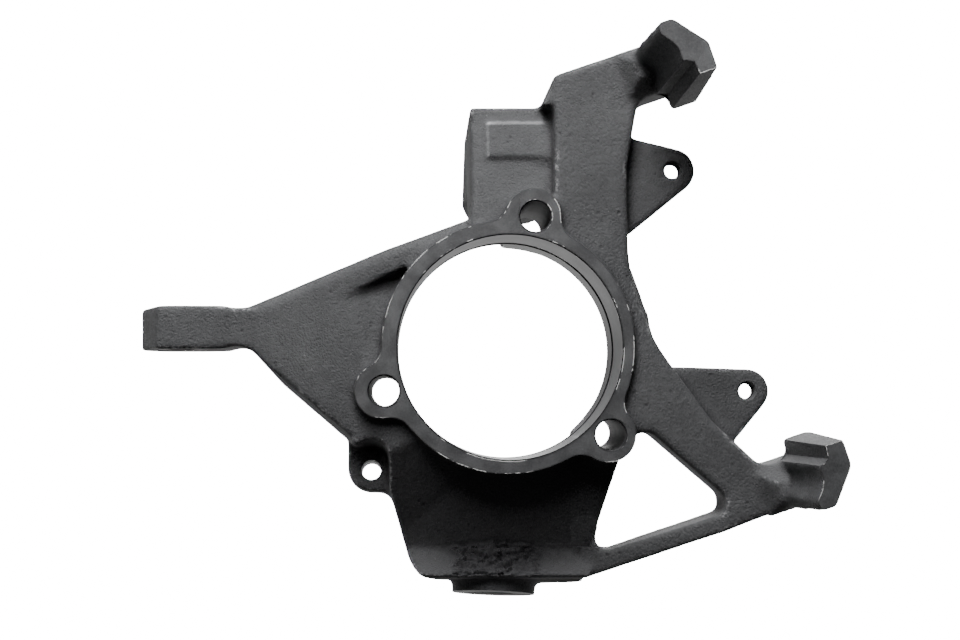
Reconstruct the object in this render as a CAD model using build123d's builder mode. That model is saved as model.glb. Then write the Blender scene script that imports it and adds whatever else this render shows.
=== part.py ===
"""Steering knuckle for the left end of a solid front drive axle: one iron casting, machined.

The origin is the centre of the bearing bore on the machined hub face. +X is rearward, towards the
caliper, +Y is inboard, towards the axle, and +Z is up. Lengths are millimetres, angles are degrees.
A "depth" is a distance inboard of the hub face, so it is a Y coordinate.
"""

import os
from math import cos, radians, sin, tan

from build123d import *

os.makedirs("parts", exist_ok=True)

# Hub ring, which carries the unit bearing
bore_radius = 48.0
ring_wall = 6.1
ring_depth = 36.0
ring_shift = -0.9  # the cast ring lies a little forward of the bore machined in it
collar_depth = 50.0
collar_start = -49.0  # angles between which the ring runs on as a deeper collar
collar_end = 91.0
relief_width = 1.4  # groove between the pilot bore and the collar
relief_cut = 0.9
bore_chamfer = 0.8

# Three bolts through lobes on the ring hold the unit bearing
bolt_circle_radius = 56.9
bolt_count = 3
bolt_angle = 79.0
bolt_hole_radius = 6.5
lobe_radius = 11.9
boss_radius = 11.4  # each lobe runs on behind the ring as a slightly slimmer boss
lobe_depth = 53.0
lobe_blend = 9.0

# Kingpin axis, through both ball joints: its top leans inboard and a little rearward
kingpin_inclination = 10.9
kingpin_rake = 2.2
lower_seat_x = -5.0
lower_seat_depth = 40.0
lower_seat_z = -110.0
joint_distance = 217.0  # from the lower nut seat to the upper one
stud_taper = 3.58  # half angle of the tapers for all the studs

# Upper arm, from the top of the ring inboard to the upper ball joint
upper_boss_radius = 20.0
upper_seat_radius = 15.5
upper_taper_small = 7.4
upper_arm_left = -16.6
upper_arm_right = 30.0
upper_arm_top = 105.7
upper_arm_thickness = 34.0
upper_arm_edge_radius = 3.0
upper_face_foot = 5.0  # depth of the arm's sloping front beside the ring
upper_web_back = 36.0
pad_width = 25.4
pad_height = 16.2
pad_rise = 1.6
pad_x = 3.2
pad_z = 90.7

# Lower arm: a web that drops from the ring to a shelf, with the lower boss under the shelf
web_top_depth = 16.0
web_foot_depth = 28.0
web_back = 37.0
web_foot_z = -88.5
web_left_top = (-57.0, -44.0)
web_left_foot = (-40.5, -103.4)
web_right_top = (49.6, -47.0)
shelf_right = 38.5
shelf_front_corner = 17.5
shelf_rear_corner = 10.0
shelf_inset = 4.0  # of the thick arm under the shelf, from the shelf's two ends
lip_depth = 18.0
lip_top_z = -98.6
underside_rise = 5.4  # the shelf's underside above the lower nut seat
lower_arm_thickness = 25.0
lower_arm_radius = 20.5
swelling_rise = 18.7  # top of the rough swelling where the boss breaks through the shelf
lower_boss_radius = 18.8
lower_taper_small = 8.6

# Steering arm, forward to the tie rod's eye
arm_front_root = 4.5
arm_back_root = 33.0
arm_top_root = (-18.0, 55.6)
arm_top_bend = (-54.7, 42.2)
arm_bottom_root = (-68.0, -41.7)
arm_bottom_bend = (-98.4, -15.6)
arm_ridge_radius = 5.0
arm_bevel_start = (-65.4, -39.2)  # where the bevel's edge on the arm's front face meets the lug
arm_bevel_depth = 14.0
waist_left_x = -119.5
waist_top = (-114.5, 17.7)
waist_bottom = (-112.5, 0.9)
waist_back = (-115.5, 36.0)
waist_blend = 12.0
eye_top = 18.7
eye_bottom = -0.2
eye_x = -144.5
eye_depth = 27.0
eye_front = 10.0
eye_back = 44.0
eye_inner_x = -124.0
eye_facet_x = -152.6
eye_tip_x = -164.4
eye_tip_depth = 35.0
eye_back_left_x = -156.6
eye_back_right_x = -130.0
eye_corner_radius = 5.0
eye_taper_small = 6.4

# Fold where the arm's front turns back to the web: a plane through three points, each given as
# X, depth and Z, that leaves the arm's face, meets the web's left edge and dies out in the web
fold_top = (-52.0, 4.5, -44.0)
fold_foot = (-46.4, 26.0, -82.0)
fold_end = (-10.0, 16.5, -50.0)

# Pocket between the steering arm's upper ridge and the ring; its floor starts at the arm's face
# along the line from pocket_start to pocket_foot, and is deepest at pocket_peak
pocket_depth = 7.0
pocket_start = (-84.0, 16.0)
pocket_peak = (-44.0, 35.0)
pocket_foot = (-62.0, -18.0)

# Lug at the lower front corner, for a hose bracket
lug_x = -59.8
lug_z = -53.3
lug_depth = 22.0
lug_thickness = 10.0
lug_radius = 10.4
lug_offset = 1.3  # how far the lug's round end is centred above its hole
lug_height = 16.0
lug_neck = 4.0
lug_blend_end = (9.4, -14.0)  # where the lug's lower edge has curved down into the web's edge
lug_hole_radius = 4.2
recess_radius = 8.2  # the arm is scooped out in front of the lug, to reach its bolt
recess_rise = 2.6  # how far the scoop's round top is centred above the hole
recess_length = 16.0

# Caliper bracket, symmetrical about a radial line through the caliper. Its points are given along
# and across that line.
caliper_angle = 18.6
bracket_front = 3.0
bracket_thickness = 22.0
bracket_left = 19.2
bracket_edge_radius = 1.8
rail_half_span = 77.0  # half the distance between the rails, which hold the pads between them
anchor_height = 24.0  # of each anchor, from its rail outwards
bracket_lip = 3.8  # how far the bracket reaches beyond its anchors
anchor_half_height = rail_half_span + anchor_height
bracket_half_height = anchor_half_height + bracket_lip
relief_apex = 58.8
relief_arc_end = (63.2, 28.0)
relief_margin = 6.2  # across, from a rail to the relief's corner
relief_slope_height = 25.9
relief_corner = (86.4, rail_half_span + relief_margin)
relief_shoulder = (72.4, relief_corner[1] - relief_slope_height)
relief_blend = 20.0
relief_corner_radius = 8.0
buttress_foot = 5.6  # how far the buttress behind the bracket's left edge spreads at the upper arm
buttress_height = 11.0
buttress_sink = 1.5
buttress_front = 5.0
buttress_back = 38.0
relief_rib_radial = 61.6
relief_rib_half_height = 16.5
relief_rib_front = 12.0
relief_rib_flare = 6.0  # how much further across the rib reaches at the ring

# Window in the bracket: a triangle between the web, the sloping arm and the strut
window_top = -36.6
window_slope_start = 60.9
window_right_radial = 67.2
window_right_margin = 15.3  # across, inside the bracket's lower edge
window_corner_radial = 65.8
window_corner_margin = 8.2
window_foot = (36.4, -91.5)
window_corner_radius = 3.5
window_foot_radius = 5.0
strut_left_x = 33.0
strut_bottom_radial = 89.7
strut_bottom_margin = 1.7
strut_bottom_left = (36.5, -100.7)
strut_left_front = 23.0
strut_left_back = 37.0

# Pad anchors, which reach outboard over the brake disc, with a rail on each for the pads
anchor_reach = 47.0
anchor_root = 9.0
anchor_inner = 98.0
anchor_thickness = 10.5
anchor_outer = anchor_inner + anchor_thickness
shoulder_margin = 10.6  # across, from a rail to the anchor's cut-off corner
anchor_shoulder = (anchor_inner - 0.2, rail_half_span + shoulder_margin)  # the outer corner is cut off as far in as this
anchor_hook_left = anchor_inner - 6.5
anchor_hook_foot = anchor_half_height - 4.0
anchor_hook_corner = (anchor_inner - 1.5, anchor_half_height - 8.0)
anchor_draft = 2.2
flare_left = anchor_inner - 16.0  # where the bracket's face starts to rise to the anchor's foot
flare_height = 7.0
flare_slope = 42.0
rail_thickness = 3.4
rail_step = 3.2  # radially, from the anchor's inner face to its rail
rail_rise = 7.0
rail_overhang = anchor_inner + rail_step
rail_throat = rail_half_span + rail_rise

# Lugs for the caliper's guide pins
pin_radial = 92.4
pin_inset = 26.4  # across, from a rail to its guide pin
pin_half_span = rail_half_span - pin_inset
pin_hole_radius = 3.4
pin_lug_radius = 9.7
pin_lug_front = 12.0
pin_lug_thickness = 8.4
pin_lug_roots = ((66.0, pin_half_span - 20.1), (79.0, pin_half_span + 19.9))
pin_lug_tips = ((3.0, -9.1), (5.0, 8.3))  # where the lug's edges meet its round end, from the hole
pin_lug_sink = 8.0

hub_radius = bore_radius + ring_wall
past = 5.0  # how far a cutting tool runs beyond the surface it starts from


def outboard_plane(depth: float) -> Plane:
    """Plane parallel to the hub face and `depth` inboard of it, seen from outboard."""
    return Plane.XZ.offset(-depth)


def caliper_plane(depth: float) -> Plane:
    """As outboard_plane, with its x axis on the radial line through the caliper."""
    turn = radians(caliper_angle)
    return Plane((0, depth, 0), x_dir=(cos(turn), 0, sin(turn)), z_dir=(0, -1, 0))


def on_bracket(radial: float, across: float) -> tuple[float, float]:
    """X and Z of a point given along and across the radial line through the caliper."""
    turn = radians(caliper_angle)
    return radial * cos(turn) - across * sin(turn), radial * sin(turn) + across * cos(turn)


kingpin_slope = tan(radians(kingpin_inclination))
kingpin = Vector(tan(radians(kingpin_rake)), kingpin_slope, 1).normalized()
lower_seat = Vector(lower_seat_x, lower_seat_depth, lower_seat_z)


def kingpin_plane(height: float) -> Plane:
    """Plane square to the kingpin axis, `height` along it above the lower nut seat."""
    return Plane(lower_seat + kingpin * height, x_dir=(1, 0, 0), z_dir=kingpin)


def square_to_kingpin(height: float, depth: float) -> float:
    """Z at `depth` of the surface square to the kingpin, `height` above the lower nut seat."""
    on_axis = lower_seat + kingpin * height
    return on_axis.Z - (depth - on_axis.Y) * kingpin_slope


# ---------------------------------------------------------------------------------- hub ring
with BuildPart() as hub:
    with BuildSketch(outboard_plane(0)) as hub_outline:
        with Locations((ring_shift, 0)):
            Circle(hub_radius)
            with PolarLocations(bolt_circle_radius, bolt_count, start_angle=bolt_angle):
                Circle(lobe_radius)
        fillet(hub_outline.vertices(), lobe_blend)
    extrude(amount=-ring_depth)
    with BuildSketch(outboard_plane(0)):
        with Locations((ring_shift, 0)):
            with PolarLocations(bolt_circle_radius, bolt_count, start_angle=bolt_angle):
                Circle(boss_radius)
    extrude(amount=-lobe_depth)
    with BuildSketch(outboard_plane(ring_depth)):
        add(hub_outline.sketch_local)
        with BuildLine():
            beyond = CenterArc((ring_shift, 0), 2 * hub_radius, collar_start, collar_end - collar_start)
            Polyline(beyond @ 1, (ring_shift, 0), beyond @ 0)
        make_face(mode=Mode.INTERSECT)
    extrude(amount=-(collar_depth - ring_depth))

# ---------------------------------------------------------------------------------- upper arm
upper_seat = lower_seat + kingpin * joint_distance
upper_back = upper_seat.Y + upper_boss_radius
underside_height = joint_distance - upper_arm_thickness
gusset_depth = upper_web_back + upper_boss_radius
with BuildPart() as upper_arm:
    with BuildSketch(Plane.YZ.offset(upper_arm_left)) as upper_profile:
        with BuildLine():
            Polyline(
                (upper_face_foot, bore_radius),
                (upper_face_foot + (upper_arm_top - bore_radius) * kingpin_slope, upper_arm_top),
                (upper_back, upper_arm_top),
                (upper_back, square_to_kingpin(underside_height, upper_back)),
                (gusset_depth, square_to_kingpin(underside_height, gusset_depth)),
                (upper_web_back, hub_radius),
                (upper_web_back, bore_radius),
                close=True,
            )
        make_face()
    extrude(amount=upper_arm_right - upper_arm_left)
    with BuildSketch(Plane.XY) as upper_plan:
        with BuildLine():
            Polyline(
                (upper_arm_left, upper_seat.Y),
                (upper_arm_left, 0),
                (upper_arm_right, 0),
                (upper_arm_right, upper_web_back),
                (upper_seat.X + upper_boss_radius, gusset_depth),
                (upper_seat.X + upper_boss_radius, upper_seat.Y),
                close=True,
            )
        make_face()
        with Locations((upper_seat.X, upper_seat.Y)):
            Circle(upper_boss_radius)
    extrude(amount=upper_arm_top + past, mode=Mode.INTERSECT)
    with BuildSketch(kingpin_plane(underside_height)):
        Circle(upper_boss_radius)
    extrude(amount=upper_arm_thickness)

    front_faces = upper_arm.faces().filter_by(lambda face: face.normal_at().Y < -0.9)
    sloping_front = front_faces.sort_by(SortBy.AREA)[-1]
    free_edges = sloping_front.edges().filter_by(lambda edge: edge.center().Z > hub_radius)
    fillet(free_edges, upper_arm_edge_radius)

pad_centre = (pad_x, upper_face_foot + (pad_z - bore_radius) * kingpin_slope, pad_z)
pad_plane = Plane(pad_centre, x_dir=(1, 0, 0), z_dir=(0, -1, kingpin_slope))
with BuildPart() as casting_pad:
    with BuildSketch(pad_plane.offset(-pad_rise)):
        RectangleRounded(pad_width + pad_rise, pad_height + pad_rise, pad_rise)
    extrude(amount=2 * pad_rise, taper=15)

# ---------------------------------------------------------------------------------- lower arm
arm_top_height = underside_rise + lower_arm_thickness
with BuildPart() as lower_arm:
    with BuildSketch(Plane.YZ.offset(web_left_top[0])) as lower_profile:
        with BuildLine():
            Polyline(
                (web_top_depth, -bore_radius),
                (web_foot_depth, web_foot_z),
                (lip_depth, lip_top_z),
                (lip_depth, square_to_kingpin(underside_rise, lip_depth)),
                (web_back, square_to_kingpin(underside_rise, web_back)),
                (web_back, -bore_radius),
                close=True,
            )
        make_face()
    extrude(amount=web_right_top[0] - web_left_top[0])
    with BuildSketch(outboard_plane(0)) as web_outline:
        with BuildLine():
            Polyline(
                web_left_top,
                web_left_foot,
                (shelf_right, web_left_foot[1]),
                (shelf_right, window_foot[1]),
                window_foot,
                web_right_top,
                close=True,
            )
        make_face()
        fillet(web_outline.vertices().sort_by_distance(web_left_foot)[0], shelf_front_corner)
        rear_corner = (shelf_right, web_left_foot[1])
        fillet(web_outline.vertices().sort_by_distance(rear_corner)[0], shelf_rear_corner)
    extrude(amount=-2 * web_back, mode=Mode.INTERSECT)
    with BuildSketch(kingpin_plane(underside_rise)) as lower_plan:
        with BuildLine():
            left = web_left_foot[0] - lower_seat_x + shelf_inset
            right = shelf_right - lower_seat_x - shelf_inset
            front = web_foot_depth - lower_seat_depth
            arc = CenterArc((0, 0), lower_arm_radius, 15, 150)
            Polyline(arc @ 1, (left, front), (right, front), arc @ 0)
        make_face()
    extrude(amount=lower_arm_thickness)
    with BuildSketch(kingpin_plane(underside_rise)):
        Circle(lower_arm_radius)
    extrude(amount=swelling_rise - underside_rise)
    with BuildSketch(kingpin_plane(0)):
        Circle(lower_boss_radius)
    extrude(amount=swelling_rise)

# ---------------------------------------------------------------------------------- steering arm
floor_start = Vector(pocket_start[0], arm_front_root, pocket_start[1])
floor_foot = Vector(pocket_foot[0], arm_front_root, pocket_foot[1])
floor_peak = Vector(pocket_peak[0], arm_front_root + pocket_depth, pocket_peak[1])
floor_normal = (floor_foot - floor_start).cross(floor_peak - floor_start)
with BuildPart() as ridge_pocket:
    with BuildSketch(outboard_plane(-past)):
        with BuildLine():
            behind_ring = ((0, pocket_peak[1]), (0, pocket_foot[1]))
            Polyline(pocket_start, pocket_peak, *behind_ring, pocket_foot, close=True)
        make_face()
    extrude(amount=-(past + arm_back_root))
    split(bisect_by=Plane(floor_start, z_dir=floor_normal), keep=Keep.TOP)

# Bevel under the arm's front, widest at the lug and running out at the eye's neck
bevel_widest = Vector(arm_bevel_start[0], arm_front_root, arm_bevel_start[1])
bevel_deepest = Vector(arm_bottom_root[0], arm_front_root + arm_bevel_depth, arm_bottom_root[1])
bevel_end = Vector(waist_bottom[0], arm_front_root, waist_bottom[1])
bevel_normal = (bevel_deepest - bevel_widest).cross(bevel_end - bevel_widest)
with BuildPart() as arm_bevel:
    with BuildSketch(outboard_plane(-past)):
        with BuildLine():
            Polyline(
                (waist_bottom[0], waist_bottom[1] + past),
                (arm_bottom_root[0], waist_bottom[1] + past),
                (arm_bottom_root[0], arm_bottom_root[1] - past),
                (waist_bottom[0], arm_bottom_root[1] - past),
                close=True,
            )
        make_face()
    extrude(amount=-(past + arm_back_root))
    split(bisect_by=Plane(bevel_widest, z_dir=bevel_normal), keep=Keep.BOTTOM)

with BuildPart() as steering_arm:
    with BuildSketch(outboard_plane(0)) as arm_outline:
        with BuildLine():
            Polyline(
                (eye_tip_x, eye_top),
                (eye_inner_x, eye_top),
                (waist_left_x, waist_top[1]),
                waist_top,
                arm_top_bend,
                arm_top_root,
                (arm_top_root[0], fold_end[2]),
                (fold_foot[0], fold_foot[2]),
                (lug_x + recess_radius, lug_z - recess_radius),
                (lug_x + recess_radius, lug_z + recess_rise),
                arm_bottom_root,
                arm_bottom_bend,
                waist_bottom,
                (waist_left_x, waist_bottom[1]),
                (eye_inner_x, eye_bottom),
                (eye_tip_x, eye_bottom),
                close=True,
            )
        make_face()
        fillet(arm_outline.vertices().sort_by_distance(waist_bottom)[0], waist_blend)
    extrude(amount=-lobe_depth)
    with BuildSketch(Plane.XY.offset(-2 * bore_radius)) as arm_plan:
        with BuildLine():
            Polyline(
                (0, arm_front_root),
                (-bore_radius, arm_front_root),
                (eye_inner_x, eye_front),
                (eye_facet_x, eye_front),
                (eye_tip_x, eye_tip_depth),
                (eye_back_left_x, eye_back),
                (eye_back_right_x, eye_back),
                waist_back,
                (-bore_radius, arm_back_root),
                (0, arm_back_root),
                close=True,
            )
        make_face()
        eye_corners = ((eye_tip_x, eye_tip_depth), (eye_back_left_x, eye_back), (eye_back_right_x, eye_back))
        for eye_corner in eye_corners:
            fillet(arm_plan.vertices().sort_by_distance(eye_corner)[0], eye_corner_radius)
    extrude(amount=4 * bore_radius, mode=Mode.INTERSECT)
    ridge = Line(waist_top, arm_top_bend)
    ridge_middle = (ridge @ 0.5).X, arm_front_root, (ridge @ 0.5).Y
    fillet(steering_arm.edges().sort_by_distance(ridge_middle)[0], arm_ridge_radius)
    add(ridge_pocket.part, mode=Mode.SUBTRACT)
    add(arm_bevel.part, mode=Mode.SUBTRACT)
    fold_normal = (Vector(fold_foot) - Vector(fold_top)).cross(Vector(fold_end) - Vector(fold_top))
    split(bisect_by=Plane(fold_top, z_dir=fold_normal), keep=Keep.BOTTOM)

# ---------------------------------------------------------------------------------- hose bracket lug
lug_plane = Plane((lug_x, lug_depth, lug_z), x_dir=(1, 0, 0), z_dir=(0, -1, kingpin_slope))
with BuildPart() as hose_lug:
    with BuildSketch(lug_plane):
        with BuildLine():
            foot = CenterArc((0, lug_offset), lug_radius, 180, 90)
            neck = Line(foot @ 1, (lug_neck, lug_offset - lug_radius))
            blend = TangentArc(neck @ 1, lug_blend_end, tangent=neck % 1)
            Polyline(blend @ 1, (lug_blend_end[0], lug_height), (-lug_radius, lug_height), foot @ 0)
        make_face()
    extrude(amount=-lug_thickness)

with BuildPart() as lug_recess:
    with BuildSketch(lug_plane):
        with Locations((0, recess_rise)):
            Circle(recess_radius)
        with Locations((0, recess_rise - recess_length / 2)):
            Rectangle(2 * recess_radius, recess_length)
    extrude(amount=lug_depth)

# ---------------------------------------------------------------------------------- caliper bracket
turn = radians(caliper_angle)
window_right = on_bracket(window_right_radial, window_right_margin - bracket_half_height)
window_corner = on_bracket(window_corner_radial, window_corner_margin - bracket_half_height)
strut_bottom_right = on_bracket(strut_bottom_radial, strut_bottom_margin - bracket_half_height)
with BuildPart() as bracket:
    with BuildSketch(outboard_plane(bracket_front)) as bracket_outline:
        with BuildLine():
            corner_z = (bracket_half_height + bracket_left * sin(turn)) / cos(turn)
            Polyline(
                (0, 0),
                (bracket_left, 0),
                (bracket_left, corner_z),
                on_bracket(anchor_inner, bracket_half_height),
                on_bracket(anchor_outer, anchor_shoulder[1]),
                on_bracket(anchor_outer, relief_corner[1]),
                on_bracket(*relief_corner),
                on_bracket(*relief_shoulder),
                on_bracket(*relief_arc_end),
            )
            ThreePointArc(
                on_bracket(*relief_arc_end),
                on_bracket(relief_apex, 0),
                on_bracket(relief_arc_end[0], -relief_arc_end[1]),
            )
            Polyline(
                on_bracket(relief_arc_end[0], -relief_arc_end[1]),
                on_bracket(relief_shoulder[0], -relief_shoulder[1]),
                on_bracket(relief_corner[0], -relief_corner[1]),
                on_bracket(anchor_outer, -relief_corner[1]),
                on_bracket(anchor_outer, -anchor_shoulder[1]),
                on_bracket(anchor_inner, -bracket_half_height),
                window_corner,
                window_right,
                (window_slope_start, window_top),
                (0, window_top),
                (0, 0),
            )
        make_face()
        fillet(bracket_outline.vertices().sort_by_distance(window_right)[0], window_corner_radius)
        for side in (1, -1):
            arc_end = on_bracket(relief_arc_end[0], side * relief_arc_end[1])
            fillet(bracket_outline.vertices().sort_by_distance(arc_end)[0], relief_blend)
            corner = on_bracket(relief_corner[0], side * relief_corner[1])
            fillet(bracket_outline.vertices().sort_by_distance(corner)[0], relief_corner_radius)
    extrude(amount=-bracket_thickness)
    fillet(bracket.faces().sort_by(Axis.Y)[0].outer_wire().edges(), bracket_edge_radius)

with BuildPart() as bracket_ribs:
    with BuildSketch(outboard_plane(buttress_front)):
        with BuildLine():
            Polyline(
                (bracket_left + buttress_foot, upper_arm_top + buttress_height),
                (bracket_left, upper_arm_top + buttress_height),
                (bracket_left - buttress_foot, upper_arm_top - buttress_sink),
                (bracket_left + buttress_foot, upper_arm_top - buttress_sink),
                close=True,
            )
        make_face()
    extrude(amount=-(buttress_back - buttress_front))
    with BuildSketch(caliper_plane(relief_rib_front)):
        with BuildLine():
            Polyline(
                (hub_radius, relief_rib_half_height + relief_rib_flare),
                (relief_rib_radial, relief_rib_half_height),
                (relief_rib_radial, -relief_rib_half_height),
                (hub_radius, -relief_rib_half_height - relief_rib_flare),
                close=True,
            )
        make_face()
    extrude(amount=-(bracket_front + bracket_thickness - relief_rib_front))

# Strut under the window, slanting inboard from the lower anchor to the shelf
strut_end_x = on_bracket(anchor_outer, -bracket_half_height)[0]
with BuildPart() as strut:
    with BuildSketch(outboard_plane(0)) as strut_outline:
        with BuildLine():
            web_edge = Line(window_foot, web_right_top, mode=Mode.PRIVATE)
            blend_top = web_edge @ (3 * window_foot_radius / web_edge.length)
            Polyline(
                window_corner,
                window_foot,
                blend_top,
                (strut_left_x, blend_top.Y),
                (strut_left_x, strut_bottom_left[1]),
                strut_bottom_left,
                strut_bottom_right,
                on_bracket(anchor_outer, -anchor_shoulder[1]),
                window_right,
                close=True,
            )
        make_face()
        fillet(strut_outline.vertices().sort_by_distance(window_corner)[0], window_corner_radius)
        fillet(strut_outline.vertices().sort_by_distance(window_foot)[0], window_foot_radius)
    extrude(amount=-2 * web_back)
    with BuildSketch(Plane.XY.offset(-bracket_half_height - bore_radius)) as strut_plan:
        with BuildLine():
            Polyline(
                (strut_left_x, strut_left_front),
                (window_right[0], bracket_front),
                (strut_end_x, bracket_front),
                (strut_end_x, bracket_front + bracket_thickness),
                (window_right[0], bracket_front + bracket_thickness),
                (strut_left_x, strut_left_back),
                close=True,
            )
        make_face()
    extrude(amount=4 * bore_radius, mode=Mode.INTERSECT)

# Pad anchor and guide pin lug: the upper ones, and their mirror images below
with BuildPart() as upper_anchor:
    with BuildSketch(caliper_plane(-anchor_reach)) as anchor_outline:
        with BuildLine():
            Polyline(
                (rail_overhang, rail_half_span),
                (anchor_outer, rail_half_span),
                (anchor_outer, anchor_shoulder[1]),
                (anchor_shoulder[0], anchor_half_height),
                (anchor_hook_left, anchor_half_height),
                (anchor_hook_left, anchor_hook_foot),
                anchor_hook_corner,
                (anchor_inner, anchor_shoulder[1]),
                (anchor_inner, rail_throat),
                (rail_overhang, rail_half_span + rail_thickness),
                close=True,
            )
        make_face()
    extrude(amount=-(anchor_reach + anchor_root), taper=-anchor_draft)
    with BuildSketch(caliper_plane(bracket_front)):
        with BuildLine():
            Polyline(
                (flare_left, rail_throat),
                (anchor_outer - flare_height, rail_throat),
                (anchor_outer - flare_height, anchor_half_height),
                (anchor_inner, bracket_half_height),
                (flare_left, bracket_half_height),
                close=True,
            )
        make_face()
    extrude(amount=flare_height, taper=flare_slope)

with BuildPart() as pin_lugs:
    for side in (1, -1):
        with BuildSketch(caliper_plane(pin_lug_front)):
            with BuildLine():
                tip = (pin_radial, side * pin_half_span)
                CenterArc(tip, pin_lug_radius, 0, 360)
            make_face()
            with BuildLine():
                Polyline(
                    (pin_lug_roots[0][0], side * pin_lug_roots[0][1]),
                    (pin_radial + pin_lug_tips[0][0], side * (pin_half_span + pin_lug_tips[0][1])),
                    (pin_radial + pin_lug_tips[1][0], side * (pin_half_span + pin_lug_tips[1][1])),
                    (pin_lug_roots[1][0], side * pin_lug_roots[1][1]),
                    (pin_lug_roots[0][0] - pin_lug_sink, side * pin_lug_roots[0][1]),
                    close=True,
                )
            make_face()
        extrude(amount=-pin_lug_thickness)

# ---------------------------------------------------------------------------------- whole casting
with BuildPart() as knuckle:
    add(hub.part)
    add(upper_arm.part)
    add(casting_pad.part)
    add(lower_arm.part)
    add(steering_arm.part)
    add(hose_lug.part)
    add(bracket.part)
    add(bracket_ribs.part)
    add(strut.part)
    add(upper_anchor.part)
    add(mirror(upper_anchor.part, about=Plane((0, 0, 0), z_dir=caliper_plane(0).y_dir)))
    add(pin_lugs.part)

    add(lug_recess.part, mode=Mode.SUBTRACT)

    # Bearing bore, with a relief groove behind the pilot length
    with BuildSketch(outboard_plane(-anchor_reach)):
        Circle(bore_radius)
    extrude(amount=-(anchor_reach + 2 * lobe_depth), mode=Mode.SUBTRACT)

    with BuildSketch(outboard_plane(0)):
        Circle(bore_radius + bore_chamfer)
    extrude(amount=-bore_chamfer, taper=45, mode=Mode.SUBTRACT)
    with BuildSketch(outboard_plane(ring_depth)):
        Circle(bore_radius + relief_cut)
    extrude(amount=-relief_width, mode=Mode.SUBTRACT)

    # Bolt holes
    with BuildSketch(outboard_plane(-past)):
        with PolarLocations(bolt_circle_radius, bolt_count, start_angle=bolt_angle):
            Circle(bolt_hole_radius)
    extrude(amount=-(2 * past + lobe_depth), mode=Mode.SUBTRACT)

    # Tapers for the ball joint studs, wide towards the axle yoke between the arms
    widening = tan(radians(stud_taper))
    with BuildSketch(kingpin_plane(-past)):
        Circle(lower_taper_small - past * widening)
    extrude(amount=arm_top_height + 2 * past, taper=-stud_taper, mode=Mode.SUBTRACT)
    with BuildSketch(kingpin_plane(joint_distance + past)):
        Circle(upper_taper_small - past * widening)
    extrude(amount=-(upper_arm_thickness + 2 * past), taper=-stud_taper, mode=Mode.SUBTRACT)

    # Spot face for the upper nut
    with BuildSketch(kingpin_plane(joint_distance)):
        Circle(upper_seat_radius)
    extrude(amount=2 * past, mode=Mode.SUBTRACT)

    # Taper for the tie rod's stud, wide at the bottom
    with BuildSketch(Plane((eye_x, eye_depth, eye_top + past))):
        Circle(eye_taper_small - past * widening)
    extrude(amount=-(eye_top - eye_bottom + 2 * past), taper=-stud_taper, mode=Mode.SUBTRACT)

    # Guide pin threads, drilled through, and the hose bracket's hole
    with BuildSketch(caliper_plane(0)):
        with Locations((pin_radial, pin_half_span), (pin_radial, -pin_half_span)):
            Circle(pin_hole_radius)
    extrude(amount=-(pin_lug_front + pin_lug_thickness + past), mode=Mode.SUBTRACT)
    with BuildSketch(lug_plane.offset(past)):
        Circle(lug_hole_radius)
    extrude(amount=-(lug_thickness + 2 * past), mode=Mode.SUBTRACT)

knuckle.part.label = "knuckle"
export_step(knuckle.part, "parts/knuckle.step")
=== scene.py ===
"""Looks of a steering knuckle: its sand-cast skin, machined seats, bare edges and pale studio.

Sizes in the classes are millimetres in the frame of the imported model: the origin is the centre of
the bearing bore on the machined hub face, +X is rearward, +Y inboard and +Z up.
"""

import logging
from dataclasses import dataclass, field
from enum import Enum
from math import cos, pi, radians, sin, tan
from typing import Callable, Sequence

import bmesh
import bpy
import numpy as np
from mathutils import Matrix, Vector, noise


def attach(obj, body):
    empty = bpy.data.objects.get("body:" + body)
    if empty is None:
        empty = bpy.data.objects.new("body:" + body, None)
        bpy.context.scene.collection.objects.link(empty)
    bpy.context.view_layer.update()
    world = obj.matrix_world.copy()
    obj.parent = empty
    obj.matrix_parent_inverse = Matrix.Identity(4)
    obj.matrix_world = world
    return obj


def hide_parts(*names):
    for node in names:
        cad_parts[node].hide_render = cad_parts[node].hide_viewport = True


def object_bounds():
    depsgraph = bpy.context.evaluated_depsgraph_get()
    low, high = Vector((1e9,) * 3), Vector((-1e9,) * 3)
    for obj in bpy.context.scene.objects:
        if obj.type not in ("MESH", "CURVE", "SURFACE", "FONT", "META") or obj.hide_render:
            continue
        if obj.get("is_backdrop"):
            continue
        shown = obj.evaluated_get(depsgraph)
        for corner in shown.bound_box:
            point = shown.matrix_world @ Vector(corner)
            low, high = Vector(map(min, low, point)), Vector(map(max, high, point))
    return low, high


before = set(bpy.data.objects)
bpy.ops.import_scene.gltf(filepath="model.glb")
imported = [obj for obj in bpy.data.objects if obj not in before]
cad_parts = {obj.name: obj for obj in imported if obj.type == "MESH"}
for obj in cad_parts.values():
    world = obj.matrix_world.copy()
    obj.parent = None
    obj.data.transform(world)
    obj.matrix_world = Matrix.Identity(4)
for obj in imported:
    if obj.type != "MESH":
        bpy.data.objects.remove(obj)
log = logging.getLogger("knuckle")
MM = 0.001
# Distance between the bands of a wave texture at scale 1.
WAVE_PITCH = 0.314


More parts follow.
